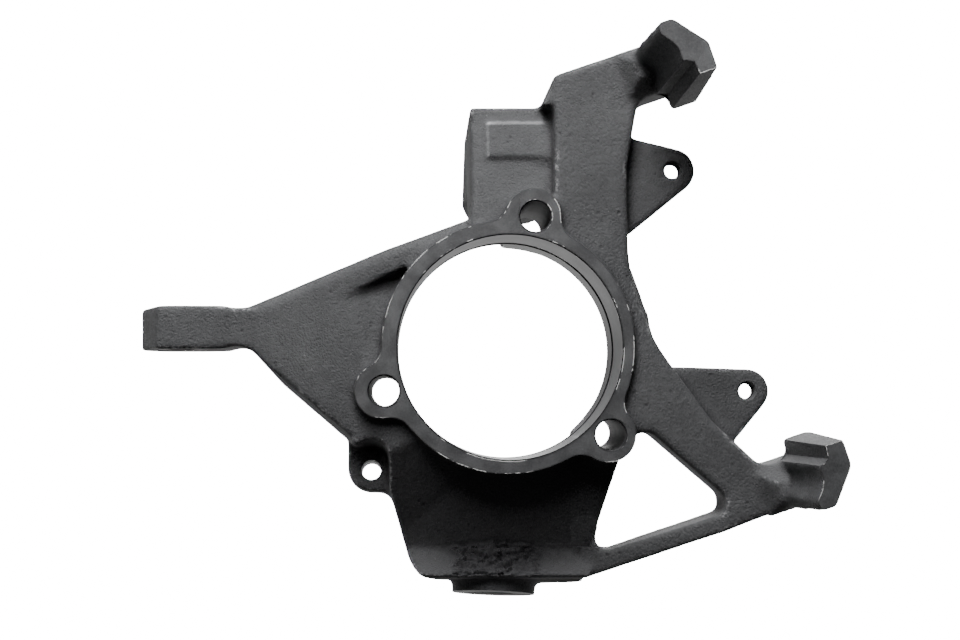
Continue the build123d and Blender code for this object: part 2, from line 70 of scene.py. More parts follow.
# ------------------------------------------------------------------------------ node recipes
@dataclass
class Shade:
    """A number that varies over a surface; arithmetic on it adds Math nodes.

    Attributes:
        recipe: the tree that it belongs to.
        socket: the output that carries it.
    """

    recipe: "NodeRecipe"
    socket: bpy.types.NodeSocket

    def _math(self, operation: str, first: "Shade | float", second: "Shade | float") -> "Shade":
        """Add one Math node."""
        made = self.recipe.node("ShaderNodeMath", {"operation": operation}, {0: first, 1: second})
        return Shade(self.recipe, made.outputs[0])

    def __add__(self, other: "Shade | float") -> "Shade":
        """Sum."""
        return self._math("ADD", self, other)

    def __radd__(self, other: float) -> "Shade":
        """Sum, with the plain number first."""
        return self._math("ADD", other, self)

    def __sub__(self, other: "Shade | float") -> "Shade":
        """Difference."""
        return self._math("SUBTRACT", self, other)

    def __rsub__(self, other: float) -> "Shade":
        """Difference, with the plain number first."""
        return self._math("SUBTRACT", other, self)

    def __mul__(self, other: "Shade | float") -> "Shade":
        """Product."""
        return self._math("MULTIPLY", self, other)

    def between(self, low: float, high: float) -> "Shade":
        """0 below low and 1 above high, with a smooth step from one to the other.

        Args:
            low: where the step starts.
            high: where it ends; below low it steps down instead.

        Returns:
            The stepped number.
        """
        settings = {"interpolation_type": "SMOOTHSTEP"}
        flip = high < low
        bounds = {1: min(low, high), 2: max(low, high)}
        made = self.recipe.node("ShaderNodeMapRange", settings, {0: self, **bounds})
        stepped = Shade(self.recipe, made.outputs[0])
        return 1.0 - stepped if flip else stepped


class NodeRecipe:
    """Adds nodes to a tree: any kind, with its settings first and then its sockets."""

    def __init__(self, tree: bpy.types.NodeTree) -> None:
        """Keep the tree that the nodes go in."""
        self.tree = tree

    def node(self, kind: str, settings: dict | None = None, sockets: dict | None = None) -> bpy.types.Node:
        """Add one node.

        Args:
            kind: the node's type.
            settings: its properties.
            sockets: a value or a link for each input, by its name or its number.

        Returns:
            The new node.
        """
        made = self.tree.nodes.new(kind)
        for name, value in (settings or {}).items():
            setattr(made, name, value)
        for key, value in (sockets or {}).items():
            if isinstance(value, Shade):
                self.tree.links.new(value.socket, made.inputs[key])
            elif isinstance(value, bpy.types.NodeSocket):
                self.tree.links.new(value, made.inputs[key])
            else:
                made.inputs[key].default_value = value
        return made


class FormRecipe(NodeRecipe):
    """A geometry node tree with named inputs for its sizes."""

    def __init__(self, name: str) -> None:
        """Start the tree with one geometry going in and one coming out.

        Args:
            name: what the tree makes.
        """
        super().__init__(bpy.data.node_groups.new(name, "GeometryNodeTree"))
        sides = self.tree.interface
        sides.new_socket("Geometry", in_out="INPUT", socket_type="NodeSocketGeometry")
        sides.new_socket("Geometry", in_out="OUTPUT", socket_type="NodeSocketGeometry")
        self.entry = self.tree.nodes.new("NodeGroupInput")
        self.exit = self.tree.nodes.new("NodeGroupOutput")

    def size(self, name: str, kind: str = "NodeSocketFloat") -> bpy.types.NodeSocket:
        """Add a named input.

        Args:
            name: what the input sets.
            kind: the type of its socket.

        Returns:
            The socket that carries it inside the tree.
        """
        self.tree.interface.new_socket(name, in_out="INPUT", socket_type=kind)
        return self.entry.outputs[name]

    def math(self, operation: str, *values: bpy.types.NodeSocket | float) -> bpy.types.NodeSocket:
        """Add one Math node.

        Args:
            operation: what it does.
            values: its numbers, or the outputs that carry them.

        Returns:
            The socket that carries the result.
        """
        return self.node("ShaderNodeMath", {"operation": operation}, dict(enumerate(values))).outputs[0]

    def finish(self, geometry: bpy.types.NodeSocket, finish: bpy.types.NodeSocket) -> None:
        """End the tree in Realize Instances and Set Material.

        Args:
            geometry: what the tree has made.
            finish: the input that carries its material.
        """
        real = self.node("GeometryNodeRealizeInstances", None, {0: geometry})
        sockets = {"Geometry": real.outputs[0], "Material": finish}
        dressed = self.node("GeometryNodeSetMaterial", None, sockets)
        self.tree.links.new(dressed.outputs[0], self.exit.inputs[0])

    def make(self, carrier: bpy.types.Object, sizes: dict[str, object]) -> bpy.types.Mesh:
        """Run the tree on an object and return a plain mesh.

        Args:
            carrier: the object whose geometry goes into the tree.
            sizes: a value for each named input.

        Returns:
            The mesh that comes out of the tree.
        """
        modifier = carrier.modifiers.new(self.tree.name, "NODES")
        modifier.node_group = self.tree
        for item in self.tree.interface.items_tree:
            if item.item_type == "SOCKET" and item.in_out == "INPUT" and item.name in sizes:
                modifier[item.identifier] = sizes[item.name]
        made = plain_mesh(carrier)
        carrier.modifiers.remove(modifier)
        return made


def plain_mesh(piece: bpy.types.Object) -> bpy.types.Mesh:
    """Return a plain mesh of an object as its modifiers leave it."""
    graph = bpy.context.evaluated_depsgraph_get()
    return bpy.data.meshes.new_from_object(piece.evaluated_get(graph), depsgraph=graph)


def as_object(name: str, mesh: bpy.types.Mesh) -> bpy.types.Object:
    """Put a mesh in the scene under a name."""
    made = bpy.data.objects.new(name, mesh)
    bpy.context.scene.collection.objects.link(made)
    return made


def as_mesh(name: str, work: bmesh.types.BMesh) -> bpy.types.Mesh:
    """Put a worked shape in a new mesh, and free what it was worked in."""
    made = bpy.data.meshes.new(name)
    work.to_mesh(made)
    work.free()
    return made


def add_slots(mesh: bpy.types.Mesh, materials: Sequence[bpy.types.Material]) -> None:
    """Add a slot for each material to a mesh."""
    for material in materials:
        mesh.materials.append(material)


def read_points(mesh: bpy.types.Mesh) -> np.ndarray:
    """Return the place of each point of a mesh, in metres."""
    found = np.empty(len(mesh.vertices) * 3, np.float32)
    mesh.vertices.foreach_get("co", found)
    return found.reshape(-1, 3)


def read_edges(mesh: bpy.types.Mesh) -> np.ndarray:
    """Return the two points of each edge of a mesh."""
    found = np.empty(len(mesh.edges) * 2, np.int32)
    mesh.edges.foreach_get("vertices", found)
    return found.reshape(-1, 2)


# ------------------------------------------------------------------------------ finishes
class Layer(Enum):
    """Material slots of the casting, in the order of their indices."""

    CAST = 0
    MACHINED = 1
    EDGE = 2
    # Near-black painted shade on the hole walls and in the relief groove.
    DRILLED = 3


class SkinRecipe(NodeRecipe):
    """A material's tree: its Principled shader, and the patterns that feed it."""

    def __init__(self, name: str) -> None:
        """Start the material.

        Args:
            name: the material's name.
        """
        self.material = bpy.data.materials.new(name)
        self.material.use_nodes = True
        self.material.node_tree.nodes.clear()
        super().__init__(self.material.node_tree)
        self.shader = self.node("ShaderNodeBsdfPrincipled")
        self.node("ShaderNodeOutputMaterial", None, {"Surface": self.shader.outputs[0]})
        self.place = self.node("ShaderNodeTexCoord").outputs["Object"]

    def noise(self, size: float, detail: float, rough: float = 0.5) -> Shade:
        """Add noise with features about `size` millimetres wide."""
        sockets = {"Vector": self.place, "Scale": 1.0 / (size * MM), "Detail": detail, "Roughness": rough}
        return Shade(self, self.node("ShaderNodeTexNoise", None, sockets).outputs[0])

    def measure(self, name: str) -> Shade:
        """Read the number that the mesh carries under a name."""
        return Shade(self, self.node("ShaderNodeAttribute", {"attribute_name": name}).outputs["Fac"])

    def mixed(
        self, share: Shade, first: bpy.types.NodeSocket | tuple, second: tuple
    ) -> bpy.types.NodeSocket:
        """Mix two colours.

        Args:
            share: how much of the second colour shows.
            first: a colour, or the output that carries it.
            second: the other colour.

        Returns:
            The output that carries the mix.
        """
        start = first if isinstance(first, bpy.types.NodeSocket) else (*first, 1.0)
        settings = {"data_type": "RGBA", "clamp_factor": True}
        return self.node("ShaderNodeMix", settings, {0: share, 6: start, 7: (*second, 1.0)}).outputs[2]

    def dress(
        self, base: bpy.types.NodeSocket, gloss: Shade, height: Shade | None, constants: dict[str, float]
    ) -> bpy.types.Material:
        """Feed the shader.

        Args:
            base: the output that carries the colour.
            gloss: the roughness.
            height: the relief in millimetres, or None for a smooth surface.
            constants: the shader's inputs that are the same everywhere.

        Returns:
            The finished material.
        """
        self.tree.links.new(base, self.shader.inputs["Base Color"])
        self.tree.links.new(gloss.socket, self.shader.inputs["Roughness"])
        for name, value in constants.items():
            self.shader.inputs[name].default_value = value
        if height is not None:
            bump = self.node("ShaderNodeBump", None, {"Strength": 1.0, "Distance": MM, "Height": height})
            self.tree.links.new(bump.outputs[0], self.shader.inputs["Normal"])
        return self.material


@dataclass(frozen=True)
class CastSkin:
    """Sand-cast iron under a thin dark coat: mottled, fine-grained, bare along sharp edges, with painted
    shade in inside corners and round the gate stub, and a painted highlight along the pad's edges.
    """

    dark: tuple[float, float, float] = (0.025, 0.0255, 0.0268)
    light: tuple[float, float, float] = (0.050, 0.0508, 0.0525)
    dust: tuple[float, float, float] = (0.24, 0.24, 0.24)
    bare: tuple[float, float, float] = (0.42, 0.42, 0.43)
    # Near black for the painted shade in corners and round the gate stub, and for the real pits.
    soot: tuple[float, float, float] = (0.010, 0.010, 0.011)
    dust_share: float = 0.15
    wear_share: float = 0.55
    # Share of the painted highlight along the pad's edges.
    rubbed_share: float = 0.40
    # Share of the painted shade in inside corners.
    hollow_share: float = 0.70
    pit_share: float = 0.45
    # Share of the painted shade over and round the gate stub.
    broken_share: float = 0.75
    roughness: float = 0.70
    roughness_range: float = 0.20
    metallic: float = 0.20
    specular: float = 0.30
    cloud_size: float = 38.0
    mottle_size: float = 7.0
    grain_size: float = 0.85
    grain_depth: float = 0.52
    lump_size: float = 2.6
    lump_depth: float = 0.18
    pit_size: float = 3.4
    pit_depth: float = 0.16
    pit_patch: float = 16.0
    dust_size: float = 1.3
    dust_patch: float = 11.0
    wear_size: float = 2.4
    wear_patch: float = 30.0

    def material(self) -> bpy.types.Material:
        """Return the material, built from nodes."""
        recipe = SkinRecipe("cast_iron_skin")
        clouds = recipe.noise(self.cloud_size, 3.0, 0.55)
        mottle = recipe.noise(self.mottle_size, 4.0, 0.6)
        grain = recipe.noise(self.grain_size, 2.0, 0.6)
        lumps = recipe.noise(self.lump_size, 2.0, 0.55)
        sockets = {"Vector": recipe.place, "Scale": 1.0 / (self.pit_size * MM)}
        cells = Shade(recipe, recipe.node("ShaderNodeTexVoronoi", None, sockets).outputs["Distance"])
        pits = cells.between(0.30, 0.12) * recipe.noise(self.pit_patch, 2.0, 0.55).between(0.52, 0.62)
        ridge = recipe.measure("ridge").between(0.25, 0.9)
        # Inside corners, where shade is painted.
        corner_shade = recipe.measure("cavity").between(0.05, 0.45)
        # Painted shade over and round the gate stub.
        gate_shade = recipe.measure("gate_shade")
        # Painted highlight along the pad's top and forward edges.
        pad_highlight = recipe.measure("pad_highlight")

        tone = (clouds * 0.45 + mottle * 0.35 + grain * 0.35).between(0.34, 0.86)
        base = recipe.mixed(tone, self.dark, self.light)
        specks = recipe.noise(self.dust_size, 1.0, 0.55).between(0.70, 0.76)
        specks *= recipe.noise(self.dust_patch, 2.0, 0.55).between(0.50, 0.62)
        base = recipe.mixed(specks * self.dust_share, base, self.dust)
        wear = ridge * recipe.noise(self.wear_size, 3.0, 0.7).between(0.44, 0.60)
        wear *= recipe.noise(self.wear_patch, 1.0, 0.55).between(0.50, 0.60)
        # The pad's painted highlight mixes towards the bare colour, together with the real edge wear.
        base = recipe.mixed(wear * self.wear_share + pad_highlight * self.rubbed_share, base, self.bare)
        # Painted shade: inside corners and the gate stub's surroundings go towards near black, along with the
        # real dark pits.
        stain = corner_shade * self.hollow_share + pits * self.pit_share + gate_shade * self.broken_share
        base = recipe.mixed(stain, base, self.soot)

        gloss = self.roughness + (mottle - 0.5) * self.roughness_range + (grain - 0.5) * 0.14 - wear * 0.10
        height = grain * self.grain_depth + lumps * self.lump_depth - pits * self.pit_depth
        constants = {"Metallic": self.metallic, "Specular IOR Level": self.specular}
        return recipe.dress(base, gloss, height, constants)


@dataclass(frozen=True)
class MachinedIron:
    """Cut iron under a thin coat, with faint tool marks."""

    dark: tuple[float, float, float] = (0.038, 0.0385, 0.040)
    light: tuple[float, float, float] = (0.066, 0.067, 0.069)
    roughness: float = 0.46
    roughness_range: float = 0.14
    metallic: float = 0.45
    stain_size: float = 9.0
    fine_size: float = 0.8
    mark_pitch: float = 0.7
    mark_depth: float = 0.012
    fine_depth: float = 0.03

    def material(self) -> bpy.types.Material:
        """Return the material, built from nodes."""
        recipe = SkinRecipe("machined_iron")
        settings = {"wave_type": "RINGS", "rings_direction": "Y", "wave_profile": "SIN"}
        scale = WAVE_PITCH / (self.mark_pitch * MM)
        sockets = {"Vector": recipe.place, "Scale": scale, "Distortion": 0.6, "Detail Scale": 2.0}
        marks = Shade(recipe, recipe.node("ShaderNodeTexWave", settings, sockets).outputs["Fac"])
        stain = recipe.noise(self.stain_size, 4.0)
        fine = recipe.noise(self.fine_size, 2.0)
        tone = (stain * 0.7 + fine * 0.3).between(0.34, 0.68)
        base = recipe.mixed(tone, self.dark, self.light)
        gloss = self.roughness + (stain - 0.5) * self.roughness_range + (fine - 0.5) * 0.08
        height = marks * self.mark_depth + fine * self.fine_depth
        return recipe.dress(base, gloss, height, {"Metallic": self.metallic})


@dataclass(frozen=True)
class BareEdge:
    """Thin strip beside a machined edge, where the coat has chipped off the bright iron."""

    coat: tuple[float, float, float] = (0.050, 0.051, 0.053)
    bright: tuple[float, float, float] = (0.80, 0.80, 0.79)
    roughness: float = 0.42
    polish: float = 0.12
    metallic: float = 0.7
    chip_size: float = 9.0
    chip_share: float = 0.52
    patch_size: float = 30.0

    def material(self) -> bpy.types.Material:
        """Return the material, built from nodes."""
        recipe = SkinRecipe("bare_edge")
        flakes = recipe.noise(self.chip_size, 3.0, 0.7)
        patches = recipe.noise(self.patch_size, 1.0)
        chips = flakes.between(1.0 - self.chip_share, 1.06 - self.chip_share) * patches.between(0.46, 0.52)
        base = recipe.mixed(chips, self.coat, self.bright)
        gloss = self.roughness - chips * self.polish
        return recipe.dress(base, gloss, None, {"Metallic": self.metallic})


@dataclass(frozen=True)
class DrilledIron:
    """Wall of a drilled hole, painted near black as painted shade for the shade inside it."""

    # Near black: painted shade.
    dark: tuple[float, float, float] = (0.006, 0.006, 0.0065)
    light: tuple[float, float, float] = (0.016, 0.016, 0.017)
    roughness: float = 0.55
    roughness_range: float = 0.2
    specular: float = 0.12
    stain_size: float = 3.0

    def material(self) -> bpy.types.Material:
        """Return the material, built from nodes."""
        recipe = SkinRecipe("painted_hole_shade")
        stain = recipe.noise(self.stain_size, 4.0)
        base = recipe.mixed(stain.between(0.35, 0.65), self.dark, self.light)
        gloss = stain * self.roughness_range + (self.roughness - self.roughness_range / 2)
        return recipe.dress(base, gloss, None, {"Specular IOR Level": self.specular})


# ------------------------------------------------------------------------------ shapes
@dataclass(frozen=True)
class Spindle:
    """A line in space that round shapes are turned about.

    Attributes:
        origin: a point on it, in millimetres.
        along: its direction.
    """

    origin: Vector
    along: Vector

    def point(self, radius: float, angle: float, height: float) -> Vector:
        """Return a point in millimetres, given round the line and along it."""
        ahead = self.along.normalized()
        helper = Vector((1, 0, 0)) if abs(ahead.x) < 0.9 else Vector((0, 0, 1))
        side = ahead.cross(helper).normalized()
        up = ahead.cross(side)
        return self.origin + ahead * height + (side * cos(angle) + up * sin(angle)) * radius


class Shapes:
    """Closed shapes gathered in one mesh."""

    def __init__(self) -> None:
        """Start with nothing."""
        self.mesh = bmesh.new()

    def turn(self, spindle: Spindle, profile: Sequence[tuple[float, float]], sides: int = 128) -> None:
        """Add a solid of revolution.

        Args:
            spindle: the line that it is turned about.
            profile: (radius, height) from one end on the line to the other, without those two ends.
            sides: how many flat sides stand for the round.
        """
        rings = []
        for radius, height in profile:
            turned = (spindle.point(radius, 2 * pi * step / sides, height) * MM for step in range(sides))
            rings.append([self.mesh.verts.new(place) for place in turned])
        self._close(rings)

    def prism(self, near: Sequence[Vector], far: Sequence[Vector]) -> None:
        """Add a prism between two outlines with as many points, given in millimetres."""
        self._close([[self.mesh.verts.new(place * MM) for place in outline] for outline in (near, far)])

    def _close(self, rings: Sequence[list[bmesh.types.BMVert]]) -> None:
        """Join rings of as many points in one closed shape, with a face at each end."""
        for low, high in zip(rings, rings[1:]):
            for step in range(len(low)):
                following = (step + 1) % len(low)
                self.mesh.faces.new((low[step], low[following], high[following], high[step]))
        self.mesh.faces.new(rings[0])
        self.mesh.faces.new(rings[-1])

    def swell(self, source: bpy.types.Mesh, depth: float, proud: float, sunk: float) -> None:
        """Add a slab over every outboard face of a mesh that lies at one depth.

        Args:
            source: the mesh that the faces are taken from.
            depth: their Y, in millimetres.
            proud: how far the slab stands out from them.
            sunk: how far it reaches behind them.
        """
        taken = bmesh.new()
        taken.from_mesh(source)
        level = depth * MM
        away = [
            face
            for face in taken.faces
            if any(abs(corner.co.y - level) > 2e-5 for corner in face.verts) or face.normal.y > -0.9
        ]
        bmesh.ops.delete(taken, geom=away, context="FACES")
        grown = bmesh.ops.extrude_face_region(taken, geom=taken.faces[:])
        raised = [item for item in grown["geom"] if isinstance(item, bmesh.types.BMVert)]
        lifted = set(raised)
        for corner in taken.verts:
            corner.co.y = level - proud * MM if corner in lifted else level + sunk * MM
        bmesh.ops.recalc_face_normals(taken, faces=taken.faces)
        slab = as_mesh("slab", taken)
        self.mesh.from_mesh(slab)
        bpy.data.meshes.remove(slab)

    def to_object(
        self, name: str, materials: Sequence[bpy.types.Material] = (), layer: int = 0
    ) -> bpy.types.Object:
        """Return the gathered shapes as an object, every face outwards and in one material slot."""
        bmesh.ops.recalc_face_normals(self.mesh, faces=self.mesh.faces)
        for face in self.mesh.faces:
            face.material_index = layer
        data = as_mesh(name, self.mesh)
        add_slots(data, materials)
        return as_object(name, data)


# ------------------------------------------------------------------------------ machined seats
@dataclass
class HubSeat:
    """Machined face, bearing bore and bolt holes of the hub ring."""

    bore_radius: float = 48.0
    bore_chamfer: float = 0.35
    lip_cut: float = 0.5
    lip_depth: float = 0.5
    relief_depth: float = 28.6
    relief_width: float = 5.2
    relief_cut: float = 0.9
    bolt_circle: float = 56.9
    bolt_count: int = 3
    bolt_angle: float = 79.0
    bolt_radius: float = 6.5
    bolt_chamfer: float = 0.5
    lobe_depth: float = 53.0
    wall_depth: float = 36.0
    face_reach: float = 76.0
    stock: float = 1.5
    bore_stock: float = 1.4
    bolt_stock: float = 0.7
    arc_steps: int = 24
    collar_start: float = -46.0
    collar_end: float = 88.0
    collar_depth: float = 49.0

    @property
    def spindle(self) -> Spindle:
        """The bore's line, inboard."""
        return Spindle(Vector((0, 0, 0)), Vector((0, 1, 0)))

    def bolt_lines(self) -> list[Spindle]:
        """Return the bolt holes' lines."""
        lines = []
        for step in range(self.bolt_count):
            turn = radians(self.bolt_angle + 360.0 * step / self.bolt_count)
            place = Vector((self.bolt_circle * cos(turn), 0, self.bolt_circle * sin(turn)))
            lines.append(Spindle(place, Vector((0, 1, 0))))
        return lines

    def fill(self, shapes: Shapes, casting: bpy.types.Mesh) -> None:
        """Add the iron that the foundry leaves for machining."""
        shapes.swell(casting, 0.0, self.stock, 2.0)
        wide = self.bore_radius + self.bore_stock
        shapes.turn(self.spindle, [(wide, -self.stock), (wide, self.wall_depth - 1.0)])
        start = radians(self.collar_start)
        end = radians(self.collar_end)
        arc = [start + (end - start) * step / self.arc_steps for step in range(self.arc_steps + 1)]
        outline = [Vector((0, 0, 0))] + [Vector((wide * cos(turn), 0, wide * sin(turn))) for turn in arc]
        near = [point + Vector((0, self.wall_depth - 3.0, 0)) for point in outline]
        far = [point + Vector((0, self.collar_depth, 0)) for point in outline]
        shapes.prism(near, far)
        plug = self.bolt_radius + self.bolt_stock
        for line in self.bolt_lines():
            shapes.turn(line, [(plug, -self.stock), (plug, self.lobe_depth - 1.0)], 48)

    def bore_tool(self, shapes: Shapes) -> None:
        """Add the tool that faces the ring and bores it."""
        bore = self.bore_radius
        profile = [
            (self.face_reach, -12.0),
            (self.face_reach, 0.0),
            (bore + self.bore_chamfer, 0.0),
            (bore, self.bore_chamfer),
            (bore, self.collar_depth + 12.0),
        ]
        shapes.turn(self.spindle, profile, 192)

    def groove_tool(self, shapes: Shapes) -> None:
        """Add the tools that turn the bore's relief groove and the lip at its mouth."""
        groove = self.bore_radius + self.relief_cut
        groove_end = self.relief_depth + self.relief_width
        shapes.turn(self.spindle, [(groove, self.relief_depth), (groove, groove_end)], 192)
        lip = self.bore_radius + self.lip_cut
        shapes.turn(self.spindle, [(lip, -self.stock), (lip, self.lip_depth)], 192)

    def drill(self) -> bpy.types.Object:
        """Return one drill for the bolt holes, standing on the bore's line."""
        wide = self.bolt_radius + self.bolt_chamfer
        tool = Shapes()
        profile = [(wide, -2.0), (wide, 0.0), (self.bolt_radius, self.bolt_chamfer), (self.bolt_radius, 60.0)]
        tool.turn(Spindle(Vector((0, 0, 0)), Vector((0, 1, 0))), profile, 64)
        return tool.to_object("bolt_drill")


@dataclass
class BoltCircle:
    """Repeats a tool round the bore with geometry nodes."""

    def recipe(self) -> FormRecipe:
        """Return the tree: named inputs are the tool, its count, the circle and the first angle."""
        form = FormRecipe("bolt_circle")
        tool = form.size("Tool", "NodeSocketObject")
        count = form.size("Count", "NodeSocketInt")
        circle = form.size("Circle radius")
        angle = form.size("First angle")
        finish = form.size("Finish", "NodeSocketMaterial")
        ring = form.node("GeometryNodeMeshLine", None, {"Count": count, "Offset": (0.0, 0.0, 0.0)})
        index = form.node("GeometryNodeInputIndex").outputs[0]
        steps = form.math("MULTIPLY", index, form.math("DIVIDE", 2 * pi, count))
        turn = form.math("ADD", steps, angle)
        sides = {"X": form.math("COSINE", turn), "Z": form.math("SINE", turn)}
        spot = form.node("ShaderNodeCombineXYZ", None, sides).outputs[0]
        place = form.node("ShaderNodeVectorMath", {"operation": "SCALE"}, {0: spot, "Scale": circle})
        moves = {"Geometry": ring.outputs[0], "Position": place.outputs[0]}
        moved = form.node("GeometryNodeSetPosition", None, moves)
        info = form.node("GeometryNodeObjectInfo", {"transform_space": "RELATIVE"}, {"Object": tool})
        copies = {"Points": moved.outputs[0], "Instance": info.outputs["Geometry"]}
        many = form.node("GeometryNodeInstanceOnPoints", None, copies)
        form.finish(many.outputs[0], finish)
        return form


@dataclass
class StudSeats:
    """Tapered holes and nut seats of the two ball joints and the tie rod's eye."""

    inclination: float = 10.9
    rake: float = 2.2
    lower_seat: tuple[float, float, float] = (-5.0, 40.0, -110.0)
    joint_distance: float = 217.0
    taper: float = 3.58
    lower_radius: float = 8.6
    lower_height: float = 30.4
    lower_boss: float = 18.8
    upper_radius: float = 7.4
    upper_height: float = 34.0
    upper_seat_radius: float = 15.7
    eye_place: tuple[float, float] = (-144.5, 27.0)
    eye_top: float = 18.7
    eye_bottom: float = -0.2
    eye_radius: float = 6.4
    eye_spot: float = 11.6
    mouth: float = 0.6
    plug_radius: float = 11.5
    upper_stock: float = 16.4
    eye_plug: float = 8.6
    lower_cutter: float = 26.0
    eye_skim: float = 0.35

    @property
    def kingpin(self) -> Spindle:
        """The line through both ball joints, upwards from the lower nut seat."""
        along = Vector((tan(radians(self.rake)), tan(radians(self.inclination)), 1.0)).normalized()
        return Spindle(Vector(self.lower_seat), along)

    @property
    def eye(self) -> Spindle:
        """The eye's line, upwards."""
        return Spindle(Vector((*self.eye_place, 0.0)), Vector((0, 0, 1)))

    def fill(self, shapes: Shapes) -> None:
        """Add the iron that the foundry leaves for machining."""
        top = self.joint_distance
        plug = self.plug_radius
        rough = self.upper_stock
        core = self.eye_plug
        shapes.turn(self.kingpin, [(plug, -1.5), (plug, self.lower_height - 1.0)], 64)
        shapes.turn(self.kingpin, [(self.lower_boss, -1.5), (self.lower_boss, 5.0)], 96)
        shapes.turn(self.kingpin, [(plug, top - self.upper_height + 1.0), (plug, top)], 64)
        shapes.turn(self.kingpin, [(rough, top - 5.0), (rough, top + 0.9)], 64)
        shapes.turn(self.eye, [(core, self.eye_bottom + 0.5), (core, self.eye_top - 0.5)], 48)

    def tools(self, shapes: Shapes) -> None:
        """Add the reamers for the tapers."""
        widening = tan(radians(self.taper))
        top = self.joint_distance
        shapes.turn(self.kingpin, self._reamer(self.lower_radius, 0.0, self.lower_height, widening), 96)
        shapes.turn(self.kingpin, self._reamer(self.upper_radius, top, top - self.upper_height, widening), 96)
        shapes.turn(self.eye, self._reamer(self.eye_radius, self.eye_top, self.eye_bottom, widening), 96)

    def seat_tools(self, shapes: Shapes) -> None:
        """Add the cutters that face the nut seats."""
        top = self.joint_distance
        spot = self.eye_spot
        skim = self.eye_skim
        shapes.turn(self.kingpin, [(self.lower_cutter, -9.0), (self.lower_cutter, 0.0)], 96)
        shapes.turn(self.kingpin, [(self.upper_seat_radius, top), (self.upper_seat_radius, top + 14.0)], 96)
        shapes.turn(self.eye, [(spot, self.eye_top - skim), (spot, self.eye_top + 6.0)], 96)
        shapes.turn(self.eye, [(spot, self.eye_bottom - 6.0), (spot, self.eye_bottom + skim)], 96)

    def _reamer(self, radius: float, seat: float, mouth: float, widening: float) -> list[tuple[float, float]]:
        """Return a reamer's profile.

        Args:
            radius: the taper's radius at the nut's seat.
            seat: the seat's height along the line.
            mouth: the height of the wide end.
            widening: how much the radius grows for each millimetre from the seat.

        Returns:
            (radius, height) pairs that run past both ends.
        """
        way = 1.0 if mouth > seat else -1.0
        length = abs(mouth - seat)
        wide = radius + length * widening
        return [
            (radius + self.mouth + 0.4, seat - way * 1.0),
            (radius, seat + way * self.mouth),
            (wide, mouth - way * self.mouth),
            (wide + self.mouth + 3.0, mouth + way * 3.0),
        ]


@dataclass
class LowerWeb:
    """Web under the ring, and the shelf at its foot."""

    top: tuple[float, float] = (18.8, -57.5)
    slope: float = 0.298
    patch: tuple[tuple[float, float], ...] = ((18.0, -61.0), (45.0, -61.0), (37.0, -87.6), (18.0, -87.6))
    rim_depth: float = 15.3
    rim_left: float = -46.0
    rim_right: float = 31.0
    rim_top: float = -97.0
    rim_bottom: float = -108.0

    def tools(self, shapes: Shapes) -> None:
        """Add the shapes that leave the web flat to its rear edge, and the shelf with an upright rim."""
        near = [Vector((x, -1.0, z)) for x, z in self.patch]
        far = [Vector((x, self.top[0] + (self.top[1] - z) * self.slope - 0.1, z)) for x, z in self.patch]
        shapes.prism(near, far)
        corners = (
            (self.rim_left, self.rim_top),
            (self.rim_right, self.rim_top),
            (self.rim_right, self.rim_bottom),
            (self.rim_left, self.rim_bottom),
        )
        front = [Vector((x, 0.0, z)) for x, z in corners]
        shapes.prism(front, [Vector((x, self.rim_depth, z)) for x, z in corners])


@dataclass
class Flash:
    """Fin of iron left along the bracket where the mould's halves met."""

    outline: tuple[tuple[float, float], ...] = (
        (49.0, 34.6),
        (53.0, 33.8),
        (56.4, 25.0),
        (59.4, 16.0),
        (60.4, 14.9),
        (61.3, 7.6),
        (59.4, 6.6),
        (54.0, 9.0),
        (50.0, 20.0),
    )
    front: float = 8.0
    back: float = 21.0

    def fill(self, shapes: Shapes) -> None:
        """Add the fin."""
        near = [Vector((x, self.front, z)) for x, z in self.outline]
        shapes.prism(near, [Vector((x, self.back, z)) for x, z in self.outline])


@dataclass
class UpperBlock:
    """Block under the upper joint: its front's top edge, and the casting pad beside the bracket."""

    face_depth: float = 13.2
    face_height: float = 90.7
    slope: float = 0.1926
    left: float = -16.6
    right: float = 15.0
    old_top: float = 103.0
    new_top: float = 105.9
    pad_rise: float = 1.6
    pad_low: float = 82.4
    pad_high: float = 99.0
    pad_left: float = 13.0
    pad_right: float = 18.4

    def _face(self, height: float) -> float:
        """Return the face's depth at a height."""
        return self.face_depth + (height - self.face_height) * self.slope

    def pad_edge(self, points: np.ndarray) -> np.ndarray:
        """Return the painted highlight along the pad's edges: 1 by its top edge, 0.4 by its forward edge, and
        0 elsewhere.
        """
        front = points[:, 1] < self.face_depth + 4.0
        top = (np.abs(points[:, 2] - self.pad_high) < 1.6) & (np.abs(points[:, 0] - 3.2) < 14.0)
        side = (np.abs(points[:, 0] + 10.0) < 1.6) & (np.abs(points[:, 2] - self.face_height) < 9.0)
        return (front & top) * 1.0 + (front & side & ~top) * 0.4

    def fill(self, shapes: Shapes) -> None:
        """Add the lip along the block's top edge and the end of its pad."""
        front = self._face(self.new_top)
        lip = ((front, self.new_top), (self._face(self.old_top), self.old_top), (front + 9.0, self.old_top))
        near = [Vector((self.left, *spot)) for spot in lip]
        shapes.prism(near, [Vector((self.right, *spot)) for spot in lip])
        low = self._face(self.pad_low)
        high = self._face(self.pad_high)
        end = (
            (low - self.pad_rise, self.pad_low),
            (high - self.pad_rise, self.pad_high),
            (high + 1.0, self.pad_high),
            (low + 1.0, self.pad_low),
        )
        near = [Vector((self.pad_left, *spot)) for spot in end]
        shapes.prism(near, [Vector((self.pad_right, *spot)) for spot in end])


